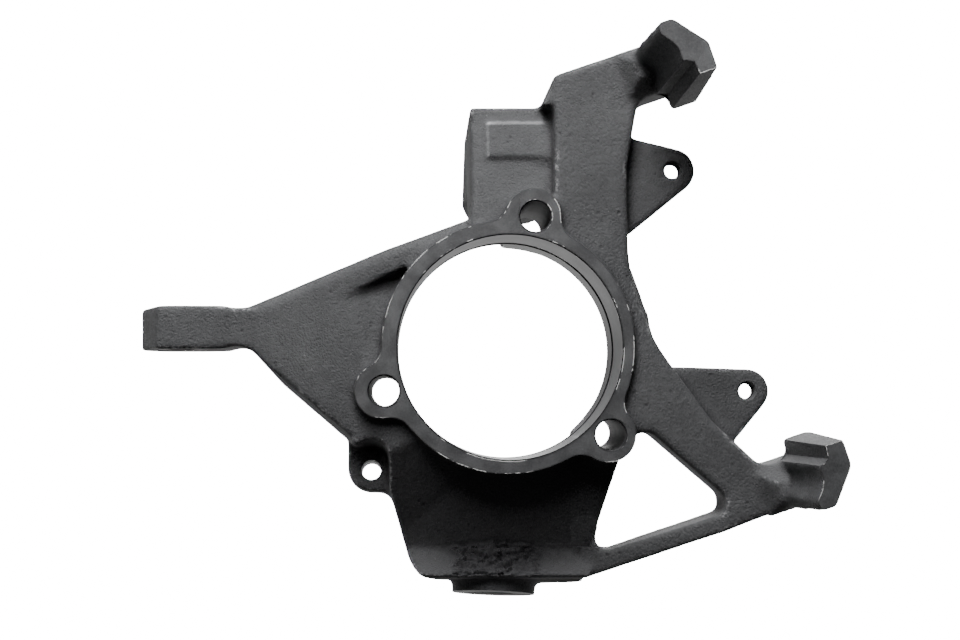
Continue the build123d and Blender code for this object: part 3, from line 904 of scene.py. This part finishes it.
@dataclass
class CaliperSeats:
    """Ends and rails of the two pad anchors, and the guide pins' threaded holes."""

    angle: float = 18.6
    reach: float = 47.0
    draft: float = 2.2
    rail_root: float = 6.0
    rail_radial: float = 101.2
    rail_across: float = 77.0
    rail_top: float = 82.2
    groove_radial: float = 100.6
    throat_radial: float = 97.7
    throat_across: float = 83.8
    haunch: tuple[tuple[float, float], ...] = (
        (97.7, 82.6),
        (96.5, 88.6),
        (95.1, 92.2),
        (90.9, 97.2),
        (98.0, 97.2),
        (103.0, 90.0),
        (103.0, 82.6),
    )
    throat_draft: float = -0.381
    heel_radial: float = 104.5
    heel_across: float = 87.0
    stock_radial: float = 107.8
    cutter_inner: float = 91.0
    cutter_outer: float = 113.5
    cutter_across: float = 68.0
    stock: float = 1.3
    pin_radial: float = 92.4
    pin_across: float = 50.6
    pin_front: float = 12.0
    pin_back: float = 20.4
    pin_radius: float = 4.0
    thread_pitch: float = 1.25
    thread_depth: float = 0.6

    def point(self, radial: float, across: float, depth: float) -> Vector:
        """Return a point given along and across the caliper's radial line."""
        turn = radians(self.angle)
        return Vector(
            (radial * cos(turn) - across * sin(turn), depth, radial * sin(turn) + across * cos(turn))
        )

    def _outline(self, corners: Sequence[tuple[float, ...]], depth: float, side: int) -> list[Vector]:
        """Place an outline whose corners give radial, across, and how each moves with the draft."""
        shift = tan(radians(self.draft)) * (depth + self.reach)
        return [self.point(r + dr * shift, side * (a + da * shift), depth) for r, a, dr, da in corners]

    def fill(self, shapes: Shapes, casting: bpy.types.Mesh) -> None:
        """Add the iron that the foundry leaves for machining."""
        shapes.swell(casting, -self.reach, 1.5, 2.0)
        s = self.stock
        leaning = self.throat_draft
        corners = (
            (self.throat_radial - s, self.heel_across, -1, 0),
            (self.throat_radial - s, self.throat_across - 0.5, -1, leaning),
            (self.groove_radial - s, self.rail_top - 0.5, -1, leaning),
            (self.rail_radial - s, self.rail_across - s, -1, -1),
            (self.stock_radial, self.rail_across - s, 1, -1),
            (self.stock_radial, 81.0, 1, 0),
            (self.heel_radial, 83.0, 0, 0),
            (self.heel_radial, self.heel_across, 0, 0),
        )
        start = -self.reach - 1.5
        for side in (1, -1):
            near = self._outline(corners, start, side)
            shapes.prism(near, self._outline(corners, self.rail_root - 3.0, side))
            near = [self.point(radial, side * across, start) for radial, across in self.haunch]
            far = [self.point(radial - 1.0, side * (across + 0.6), -2.0) for radial, across in self.haunch]
            shapes.prism(near, far)
        for line in self.pin_lines():
            shapes.turn(line, [(5.2, 0.7), (5.2, self.pin_back - self.pin_front - 0.7)], 48)

    def pin_lines(self) -> list[Spindle]:
        """Return the guide pins' lines, from the front of their lugs."""
        ways = (self.point(self.pin_radial, side * self.pin_across, self.pin_front) for side in (1, -1))
        return [Spindle(place, Vector((0, 1, 0))) for place in ways]

    def tools(self, shapes: Shapes) -> None:
        """Add the cutters for the rails and the pin holes."""
        leaning = self.throat_draft
        corners = (
            (self.cutter_inner, self.throat_across, 0, leaning),
            (self.throat_radial, self.throat_across, -1, leaning),
            (self.groove_radial, self.rail_top, -1, leaning),
            (self.rail_radial, self.rail_across, -1, -1),
            (self.cutter_outer, self.rail_across, 0, -1),
            (self.cutter_outer, self.cutter_across, 0, 0),
            (self.cutter_inner, self.cutter_across, 0, 0),
        )
        for side in (1, -1):
            near = self._outline(corners, -self.reach - 4.0, side)
            shapes.prism(near, self._outline(corners, self.rail_root - 0.5, side))
        length = self.pin_back - self.pin_front
        wide = self.pin_radius
        half = self.thread_pitch / 2
        ridges = [
            (wide - (step + 1) % 2 * self.thread_depth, 1.0 + step * half)
            for step in range(int((length - 2.0) / half) + 1)
        ]
        for line in self.pin_lines():
            profile = [
                (wide + 2.4, -2.0),
                (wide + 0.4, 0.0),
                *ridges,
                (wide + 0.4, length),
                (wide + 2.4, length + 2.0),
            ]
            shapes.turn(line, profile, 64)

    def end_tools(self, shapes: Shapes) -> None:
        """Add the cutters that face the anchors' ends."""
        corners = ((86.0, 70.0), (114.0, 70.0), (114.0, 106.0), (86.0, 106.0))
        for side in (1, -1):
            near = [self.point(radial, side * across, -self.reach - 8.0) for radial, across in corners]
            far = [self.point(radial, side * across, -self.reach) for radial, across in corners]
            shapes.prism(near, far)


@dataclass
class HoseSeat:
    """Hole of the hose bracket's bolt, in its lug."""

    place: tuple[float, float, float] = (-59.8, 22.0, -53.3)
    slope: float = 10.9
    thickness: float = 10.0
    radius: float = 4.2
    mouth: float = 0.4

    @property
    def spindle(self) -> Spindle:
        """The hole's line, from the lug's front inboard."""
        return Spindle(Vector(self.place), Vector((0, 1, -tan(radians(self.slope)))))

    def fill(self, shapes: Shapes) -> None:
        """Close the hole for the casting."""
        shapes.turn(self.spindle, [(self.radius + 0.9, 0.6), (self.radius + 0.9, self.thickness - 0.6)], 48)

    def tools(self, shapes: Shapes) -> None:
        """Add the drill."""
        wide = self.radius + self.mouth
        profile = [
            (wide + 2.0, -2.0),
            (self.radius, self.mouth),
            (self.radius, self.thickness - self.mouth),
            (wide + 2.0, self.thickness + 2.0),
        ]
        shapes.turn(self.spindle, profile, 64)


# ------------------------------------------------------------------------------ raw casting
class Surface:
    """The casting's surface as arrays, for shaping it point by point."""
    # A point that stands this far off its neighbours' middle, in metres, counts as a full edge.
    full_bend = 0.00012

    def __init__(self, mesh: bpy.types.Mesh) -> None:
        """Read the mesh.

        Args:
            mesh: the mesh to shape.
        """
        self.mesh = mesh
        self.points = read_points(mesh).astype(np.float64)
        ends = read_edges(mesh)
        self.start = np.concatenate((ends[:, 0], ends[:, 1]))
        self.end = np.concatenate((ends[:, 1], ends[:, 0]))
        self.degree = np.bincount(self.start, minlength=len(self.points))[:, None]

    def pull(self) -> np.ndarray:
        """Return each point's offset to the middle of its neighbours."""
        near = self.points[self.end]
        means = np.stack([np.bincount(self.start, near[:, axis], len(self.points)) for axis in range(3)], 1)
        return means / self.degree - self.points

    def normals(self) -> np.ndarray:
        """Return each point's outward normal."""
        self.store()
        found = np.empty(len(self.points) * 3, np.float32)
        self.mesh.vertices.foreach_get("normal", found)
        return found.reshape(-1, 3)

    def store(self) -> None:
        """Write the points back to the mesh."""
        self.mesh.vertices.foreach_set("co", self.points.astype(np.float32).ravel())
        self.mesh.update()

    def relax(self, steps: int, share: float) -> None:
        """Even out the surface.

        Args:
            steps: how many times.
            share: how far each point goes towards its neighbours' middle.
        """
        for _ in range(steps):
            self.points += self.pull() * share

    def fill_corners(self, steps: int, share: float) -> None:
        """Fill inside corners with a casting's fillets, leaving outside edges as they are.

        Args:
            steps: how many times; the fillets grow with its square root.
            share: how far each point goes towards its neighbours' middle.
        """
        for step in range(steps):
            if step % 6 == 0:
                outward = self.normals()
            offset = self.pull()
            inside = (offset * outward).sum(1) > 0
            self.points[inside] += offset[inside] * share

    def bend(self) -> np.ndarray:
        """Return how each point bends: about 1 on an edge, -1 in a corner, 0 on the flat."""
        bent = -(self.pull() * self.normals()).sum(1)
        return np.clip(self.spread(bent, 2) / self.full_bend, -1.0, 1.0)

    def spread(self, values: np.ndarray, steps: int) -> np.ndarray:
        """Return values evened out between neighbours.

        Args:
            values: a number for each point.
            steps: how many times.

        Returns:
            The evened numbers.
        """
        for _ in range(steps):
            sums = np.bincount(self.start, values[self.end], len(values))
            values = 0.5 * values + 0.5 * sums / self.degree[:, 0]
        return values


@dataclass
class CastSurface:
    """Waves, lumps and rough patches of a sand casting, made with geometry nodes."""

    wave_size: float = 30.0
    wave_height: float = 0.30
    lump_size: float = 7.0
    lump_height: float = 0.22
    rough_size: float = 3.6
    rough_height: float = 0.5
    gate_place: tuple[float, float, float] = (-5.0, 24.0, -94.0)
    gate_reach: float = 21.0

    def recipe(self) -> FormRecipe:
        """Return the tree, with the sizes above as its named inputs."""
        form = FormRecipe("cast_surface")
        sizes = {name: form.size(name) for name in self._values()}
        finish = form.size("Finish", "NodeSocketMaterial")
        gate = form.size("Gate", "NodeSocketVector")
        place = form.node("GeometryNodeInputPosition").outputs[0]
        normal = form.node("GeometryNodeInputNormal").outputs[0]

        def relief(name: str, detail: float) -> bpy.types.NodeSocket:
            """Noise about zero, with the named size and height."""
            scale = form.math("DIVIDE", 1.0, sizes[f"{name} size"])
            sockets = {"Vector": place, "Scale": scale, "Detail": detail}
            made = form.node("ShaderNodeTexNoise", None, sockets).outputs[0]
            return form.math("MULTIPLY", form.math("SUBTRACT", made, 0.5), sizes[f"{name} height"])

        smooth = form.math("ADD", relief("Wave", 1.0), relief("Lump", 2.0))
        gap = form.node("ShaderNodeVectorMath", {"operation": "DISTANCE"}, {0: place, 1: gate})
        share = form.node(
            "ShaderNodeMapRange",
            {"interpolation_type": "SMOOTHSTEP"},
            {0: gap.outputs["Value"], 1: sizes["Gate reach"], 2: 0.0, 3: 0.0, 4: 1.0},
        )
        rough = form.math("MULTIPLY", relief("Rough", 3.0), share.outputs[0])
        lift = {0: normal, "Scale": form.math("ADD", smooth, rough)}
        offset = form.node("ShaderNodeVectorMath", {"operation": "SCALE"}, lift)
        moves = {"Geometry": form.entry.outputs[0], "Offset": offset.outputs[0]}
        form.finish(form.node("GeometryNodeSetPosition", None, moves).outputs[0], finish)
        return form

    def _values(self) -> dict[str, float]:
        """Return the named sizes, in metres."""
        return {
            "Wave size": self.wave_size * MM,
            "Wave height": self.wave_height * MM,
            "Lump size": self.lump_size * MM,
            "Lump height": self.lump_height * MM,
            "Rough size": self.rough_size * MM,
            "Rough height": self.rough_height * MM,
            "Gate reach": self.gate_reach * MM,
        }

    def roughen(self, body: bpy.types.Object, skin: bpy.types.Material) -> bpy.types.Mesh:
        """Return the body's mesh with the surface of a sand casting."""
        gate = tuple(value * MM for value in self.gate_place)
        return self.recipe().make(body, {**self._values(), "Finish": skin, "Gate": gate})


@dataclass
class BrokenGate:
    """Stub where the iron ran into the mould, snapped off and left rough, with painted shade over it and over
    the front faces round it.
    """

    middle: tuple[float, float] = (-4.8, -93.0)
    half_width: float = 19.0
    half_height: float = 6.4
    front_limit: float = 33.0
    proud: float = 1.9
    sunk: float = 0.5
    ragged: float = 3.4
    crag_size: float = 2.6
    crag_depth: float = 2.6
    # How far the painted shade reaches round the stub, and how dark it gets.
    halo: float = 70.0
    halo_share: float = 0.85
    # The stub's top rim, which is left lighter as a painted highlight.
    rim: float = 2.2
    margin: float = 4.0
    facing: float = -0.3
    lift: float = 3.0
    tear_size: float = 4.2
    tear_soft: float = 1.4
    # How softly and how much the top rim is left out of the painted shade.
    rim_soft: float = 0.8
    rim_share: float = 0.85

    def _gap(self, points: np.ndarray) -> np.ndarray:
        """Return how far each point lies outside the patch that the painted shade starts from."""
        across = np.abs(points[:, 0] - self.middle[0]) - self.half_width
        up = np.abs(points[:, 2] - self.middle[1] + self.lift) - self.half_height
        return np.maximum(across, up)

    def raise_on(self, surface: Surface) -> np.ndarray:
        """Raise the stub on the casting's front.

        Args:
            surface: the casting.

        Returns:
            How far each point belongs to the stub, from 0 to 1.
        """
        points = surface.points / MM
        outward = surface.normals()
        across = points[:, 0] - self.middle[0]
        up = points[:, 2] - self.middle[1]
        front = (outward[:, 1] < self.facing) & (points[:, 1] < self.front_limit)
        near = front & (np.abs(across) < self.half_width + self.margin)
        near &= np.abs(up) < self.half_height + self.margin
        # Painted shade, fading from the stub over every front-facing point within reach.
        share = np.clip(1.0 - self._gap(points) / self.halo, 0.0, 1.0) * front * self.halo_share
        for index in np.flatnonzero(near):
            place = Vector(points[index])
            torn = noise.noise(place / self.tear_size) * self.ragged
            edge = max(abs(across[index]) - self.half_width, abs(up[index]) - self.half_height) + torn
            part = min(max(0.5 - edge / self.tear_soft, 0.0), 1.0)
            height = self.proud * (up[index] / self.half_height + 1.0) / 2 - self.sunk
            crag = noise.turbulence(place / self.crag_size, 3, True) * self.crag_depth - self.crag_depth / 3
            surface.points[index] += outward[index] * part * (height + crag) * MM
            # Painted highlight: the stub's top rim keeps less of the painted shade.
            above = up[index] + torn * 0.5 - self.half_height + self.rim
            top = min(max(above / self.rim_soft, 0.0), 1.0)
            share[index] = max(part, share[index]) * (1.0 - self.rim_share * top * part)
        return share

    def stain(self, mesh: bpy.types.Mesh) -> None:
        """Carry the painted shade round the stub over the faces that were cut beside it.

        Args:
            mesh: the casting, after its cuts.
        """
        points = read_points(mesh) / MM
        gap = self._gap(points)
        beside = (gap > 0.0) & (points[:, 1] < self.front_limit)
        beside &= points[:, 2] < self.middle[1] + self.half_height
        values = np.empty(len(mesh.vertices), np.float32)
        layer = mesh.attributes["gate_shade"].data
        layer.foreach_get("value", values)
        # Painted shade carried onto the cut faces below the stub.
        spread_shade = np.clip(1.0 - gap / self.halo, 0.0, 1.0) * self.halo_share * beside
        layer.foreach_set("value", np.maximum(values, spread_shade).astype(np.float32))


@dataclass
class RawCasting:
    """The casting before machining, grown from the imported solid."""

    voxel: float = 0.95
    even_steps: int = 5
    fillet_steps: int = 12
    triangles: int = 170000
    step_share: float = 0.5
    last_steps: int = 2
    cavity_steps: int = 10
    surface: CastSurface = field(default_factory=CastSurface)
    gate: BrokenGate = field(default_factory=BrokenGate)
    block: UpperBlock = field(default_factory=UpperBlock)

    def build(
        self, solid: bpy.types.Object, stock: bpy.types.Object, skin: bpy.types.Material
    ) -> bpy.types.Object:
        """Return the raw casting.

        Args:
            solid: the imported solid.
            stock: iron left for machining, as closed shapes.
            skin: the cast skin's material.

        Returns:
            The casting as one closed surface.
        """
        joined = bmesh.new()
        joined.from_mesh(merged(solid.data))
        joined.from_mesh(stock.data)
        data = as_mesh("raw_casting", joined)
        bpy.data.objects.remove(stock)
        body = as_object("raw_casting", data)
        remesh = body.modifiers.new("Grid", "REMESH")
        remesh.mode = "VOXEL"
        remesh.voxel_size = self.voxel * MM
        body.data = plain_mesh(body)
        body.modifiers.clear()
        keep_largest(body.data)
        shape = Surface(body.data)
        shape.relax(self.even_steps, self.step_share)
        shape.fill_corners(self.fillet_steps, self.step_share)
        shape.relax(self.last_steps, self.step_share)
        shape.store()
        body.data = self.surface.roughen(body, skin)
        shape = Surface(body.data)
        # Raise the stub, and take the painted shade over and round it.
        gate_shade = self.gate.raise_on(shape)
        shape.store()
        bend = shape.bend()
        # How deep in an inside corner each point lies; the skin paints shade by it.
        cavity = shape.spread(np.clip(-bend, 0.0, 1.0), self.cavity_steps)
        # Painted highlight on the pad's convex edges.
        pad_highlight = self.block.pad_edge(shape.points / MM) * np.clip(bend * 2.0, 0.0, 1.0)
        measures = {"ridge": bend, "cavity": cavity, "gate_shade": gate_shade, "pad_highlight": pad_highlight}
        for name, values in measures.items():
            kept = body.data.attributes.new(name, "FLOAT", "POINT")
            kept.data.foreach_set("value", values.astype(np.float32))
        count = sum(len(face.vertices) - 2 for face in body.data.polygons)
        thinning = body.modifiers.new("Thinning", "DECIMATE")
        thinning.ratio = min(1.0, self.triangles / count)
        body.data = plain_mesh(body)
        body.modifiers.clear()
        log.info("raw casting: %d faces on the grid, %d after thinning", count, len(body.data.polygons))
        return body


def merged(source: bpy.types.Mesh) -> bpy.types.Mesh:
    """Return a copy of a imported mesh, whose loose triangles are joined."""
    work = bmesh.new()
    work.from_mesh(source)
    bmesh.ops.remove_doubles(work, verts=work.verts[:], dist=1e-6)
    return as_mesh("merged", work)


def keep_largest(mesh: bpy.types.Mesh) -> None:
    """Drop every loose part of a mesh but the largest."""
    count = len(mesh.vertices)
    ends = read_edges(mesh)
    label = np.arange(count)
    while True:
        low = np.minimum(label[ends[:, 0]], label[ends[:, 1]])
        before = label.copy()
        np.minimum.at(label, ends[:, 0], low)
        np.minimum.at(label, ends[:, 1], low)
        label = label[label]
        if np.array_equal(before, label):
            break
    sizes = np.bincount(label, minlength=count)
    largest = int(sizes.argmax())
    if sizes[largest] == count:
        return
    work = bmesh.new()
    work.from_mesh(mesh)
    work.verts.ensure_lookup_table()
    loose = [work.verts[index] for index in np.flatnonzero(label != largest)]
    bmesh.ops.delete(work, geom=loose, context="VERTS")
    work.to_mesh(mesh)
    work.free()


# ------------------------------------------------------------------------------ whole casting
@dataclass
class Knuckle:
    """The finished casting: raw casting, machined seats, drilled holes and bare edges."""

    hub: HubSeat = field(default_factory=HubSeat)
    studs: StudSeats = field(default_factory=StudSeats)
    caliper: CaliperSeats = field(default_factory=CaliperSeats)
    hose: HoseSeat = field(default_factory=HoseSeat)
    block: UpperBlock = field(default_factory=UpperBlock)
    web: LowerWeb = field(default_factory=LowerWeb)
    flash: Flash = field(default_factory=Flash)
    raw: RawCasting = field(default_factory=RawCasting)
    skin: CastSkin = field(default_factory=CastSkin)
    machined: MachinedIron = field(default_factory=MachinedIron)
    bare: BareEdge = field(default_factory=BareEdge)
    # Painted shade for the hole walls and the relief groove.
    drilled: DrilledIron = field(default_factory=DrilledIron)
    edge_width: float = 0.35
    smooth_angle: float = 38.0

    def build(self, solid: bpy.types.Object) -> bpy.types.Object:
        """Return the finished casting.

        Args:
            solid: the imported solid.

        Returns:
            The casting, dressed, with its place in its mesh.
        """
        finishes = (self.skin, self.machined, self.bare, self.drilled)
        materials = [finish.material() for finish in finishes]
        stock = Shapes()
        joined = merged(solid.data)
        self.hub.fill(stock, joined)
        self.studs.fill(stock)
        self.caliper.fill(stock, joined)
        self.hose.fill(stock)
        self.block.fill(stock)
        self.flash.fill(stock)
        body = self.raw.build(solid, stock.to_object("stock"), materials[Layer.CAST.value])
        body.data.materials.clear()
        add_slots(body.data, materials)
        for tool in self._tools(materials):
            self._cut(body, tool)
        # Carry the painted shade round the gate stub over the faces just cut.
        self.raw.gate.stain(body.data)
        body.name = "knuckle_casting"
        body.data.name = "knuckle_casting"
        self._bare_edges(body.data)
        log.info("%s: %d faces", body.name, len(body.data.polygons))
        return body

    def _tools(self, materials: list[bpy.types.Material]) -> list[bpy.types.Object]:
        """Return the cutting tools, in the order of use."""
        makers: list[tuple[Callable[[Shapes], None], Layer]] = [
            (self.web.tools, Layer.CAST),
            (self.hub.bore_tool, Layer.MACHINED),
            # The relief groove takes the near-black painted shade.
            (self.hub.groove_tool, Layer.DRILLED),
            (self.studs.seat_tools, Layer.MACHINED),
            (self.studs.tools, Layer.MACHINED),
            (self.caliper.end_tools, Layer.MACHINED),
            (self.caliper.tools, Layer.CAST),
            (self.hose.tools, Layer.MACHINED),
        ]
        tools = []
        for maker, layer in makers:
            shapes = Shapes()
            maker(shapes)
            tools.append(shapes.to_object(maker.__name__, materials, layer.value))
        tools.insert(1, self._bolt_drills(materials))
        return tools

    def _bolt_drills(self, materials: list[bpy.types.Material]) -> bpy.types.Object:
        """Return the drills for the bolt holes, set round the bore."""
        drill = self.hub.drill()
        carrier = as_object("bolt_drills", bpy.data.meshes.new("bolt_drills"))
        sizes = {
            "Tool": drill,
            "Count": self.hub.bolt_count,
            "Circle radius": self.hub.bolt_circle * MM,
            "First angle": radians(self.hub.bolt_angle),
            # The bolt holes' walls take the near-black painted shade.
            "Finish": materials[Layer.DRILLED.value],
        }
        carrier.data = BoltCircle().recipe().make(carrier, sizes)
        carrier.data.materials.clear()
        add_slots(carrier.data, materials)
        for face in carrier.data.polygons:
            face.material_index = Layer.DRILLED.value
        bpy.data.objects.remove(drill)
        return carrier

    @staticmethod
    def _cut(body: bpy.types.Object, tool: bpy.types.Object) -> None:
        """Cut a tool's shape out of the body; the cut faces take the tool's material."""
        cut = body.modifiers.new("Cut", "BOOLEAN")
        cut.operation = "DIFFERENCE"
        cut.solver = "MANIFOLD"
        cut.object = tool
        body.data = plain_mesh(body)
        body.modifiers.clear()
        bpy.data.objects.remove(tool)
        log.info("cut: %d faces", len(body.data.polygons))

    def _bare_edges(self, mesh: bpy.types.Mesh) -> None:
        """Set a thin strip beside every machined edge in the bare edge's material, and shade the mesh."""
        work = bmesh.new()
        work.from_mesh(mesh)
        cut = [face for face in work.faces if face.material_index == Layer.MACHINED.value]
        rim = bmesh.ops.inset_region(work, faces=cut, thickness=self.edge_width * MM, use_boundary=True)
        for face in rim["faces"]:
            face.material_index = Layer.EDGE.value
        for face in work.faces:
            face.smooth = True
        work.to_mesh(mesh)
        work.free()
        mesh.set_sharp_from_angle(angle=radians(self.smooth_angle))


# ------------------------------------------------------------------------------ studio
@dataclass(frozen=True)
class Lamp:
    """Square soft light that looks at the bore.

    Attributes:
        name: its name.
        place: where it hangs, in metres.
        size: the length of its side, in metres.
        power: in watts.
    """

    name: str
    place: tuple[float, float, float]
    size: float
    power: float

    def hang(self) -> None:
        """Put the lamp in the scene."""
        data = bpy.data.lights.new(self.name, "AREA")
        data.shape = "SQUARE"
        data.size = self.size
        data.energy = self.power
        made = bpy.data.objects.new(self.name, data)
        made.location = self.place
        made.rotation_euler = (-Vector(self.place)).to_track_quat("-Z", "Y").to_euler()
        bpy.context.scene.collection.objects.link(made)


@dataclass
class Studio:
    """Camera, floor, surroundings and lights."""

    camera_place: tuple[float, float, float] = (-0.03966, -0.590, -0.02671)
    lens: float = 51.94
    shift: tuple[float, float] = (0.0656, 0.09375)
    floor_gap: float = 0.002
    floor_size: float = 6.0
    white: float = 18.0
    behind: float = 0.55
    ahead: float = 0.05
    below: float = 1.3
    lamps: tuple[Lamp, ...] = (
        Lamp("key", (-0.12, -0.38, 0.76), 0.30, 19.0),
        Lamp("front", (-0.22, -0.78, 0.74), 0.45, 15.0),
        Lamp("left", (-1.25, -0.30, 0.45), 0.5, 3.0),
        Lamp("right", (1.20, -0.12, -0.45), 0.5, 12.0),
        Lamp("back", (0.4, 1.2, 0.9), 1.2, 26.0),
    )

    def build(self) -> None:
        """Set up the studio round the object."""
        self._camera()
        self._floor()
        self._surroundings()
        for lamp in self.lamps:
            lamp.hang()

    def _camera(self) -> None:
        """Look inboard along the bore, from a little below and forward of it."""
        data = bpy.data.cameras.new("camera")
        data.lens = self.lens
        data.sensor_width = 36.0
        data.shift_x, data.shift_y = self.shift
        data.clip_start = 0.01
        made = bpy.data.objects.new("camera", data)
        made.location = self.camera_place
        made.rotation_euler = (pi / 2, 0.0, 0.0)
        bpy.context.scene.collection.objects.link(made)
        bpy.context.scene.camera = made

    def _floor(self) -> None:
        """Lay a plain pale floor under the object."""
        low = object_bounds()[0][2] - self.floor_gap
        work = bmesh.new()
        bmesh.ops.create_grid(work, x_segments=1, y_segments=1, size=self.floor_size)
        bmesh.ops.translate(work, verts=work.verts, vec=(0.0, 0.0, low))
        data = as_mesh("floor", work)
        material = bpy.data.materials.new("pale_floor")
        material.use_nodes = True
        material.node_tree.nodes.clear()
        recipe = NodeRecipe(material.node_tree)
        place = recipe.node("ShaderNodeTexCoord").outputs["Object"]
        inboard = Shade(recipe, recipe.node("ShaderNodeSeparateXYZ", None, {0: place}).outputs["Y"])
        lit = inboard.between(-0.05, 0.15) * self.below
        both = self._white_to_camera(recipe, "ShaderNodeEmission", lit)
        recipe.node("ShaderNodeOutputMaterial", None, {"Surface": both})
        data.materials.append(material)
        as_object("floor", data)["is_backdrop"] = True

    def _surroundings(self) -> None:
        """White behind the object as the camera sees it, and a soft gradient as the object sees it."""
        world = bpy.data.worlds.new("studio")
        bpy.context.scene.world = world
        world.use_nodes = True
        world.node_tree.nodes.clear()
        recipe = NodeRecipe(world.node_tree)
        way = recipe.node("ShaderNodeTexCoord").outputs["Generated"]
        parts = recipe.node("ShaderNodeSeparateXYZ", None, {0: way})
        inboard = Shade(recipe, parts.outputs["Y"])
        up = Shade(recipe, parts.outputs["Z"])
        glow = (inboard + up * 0.35).between(-0.15, 0.75) * (self.behind - self.ahead) + self.ahead
        both = self._white_to_camera(recipe, "ShaderNodeBackground", glow)
        recipe.node("ShaderNodeOutputWorld", None, {"Surface": both})

    def _white_to_camera(self, recipe: NodeRecipe, kind: str, lit: Shade) -> bpy.types.NodeSocket:
        """Mix a plain white for the camera with what the object sees.

        Args:
            recipe: where the nodes go.
            kind: the type of node that shines.
            lit: how strongly it shines on the object.

        Returns:
            The output that carries the mix.
        """
        shining = [
            recipe.node(kind, None, {"Color": (1, 1, 1, 1), "Strength": strength}).outputs[0]
            for strength in (lit, self.white)
        ]
        seen = recipe.node("ShaderNodeLightPath").outputs["Is Camera Ray"]
        return recipe.node("ShaderNodeMixShader", None, {0: seen, 1: shining[0], 2: shining[1]}).outputs[0]


def main() -> None:
    """Build the knuckle and its studio."""
    logging.basicConfig(level=logging.INFO, format="%(name)s: %(message)s")
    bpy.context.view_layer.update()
    Studio().build()
    casting = Knuckle().build(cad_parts["knuckle"])
    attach(casting, "root")
    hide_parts("knuckle")


if __name__ == "__main__":
    main()
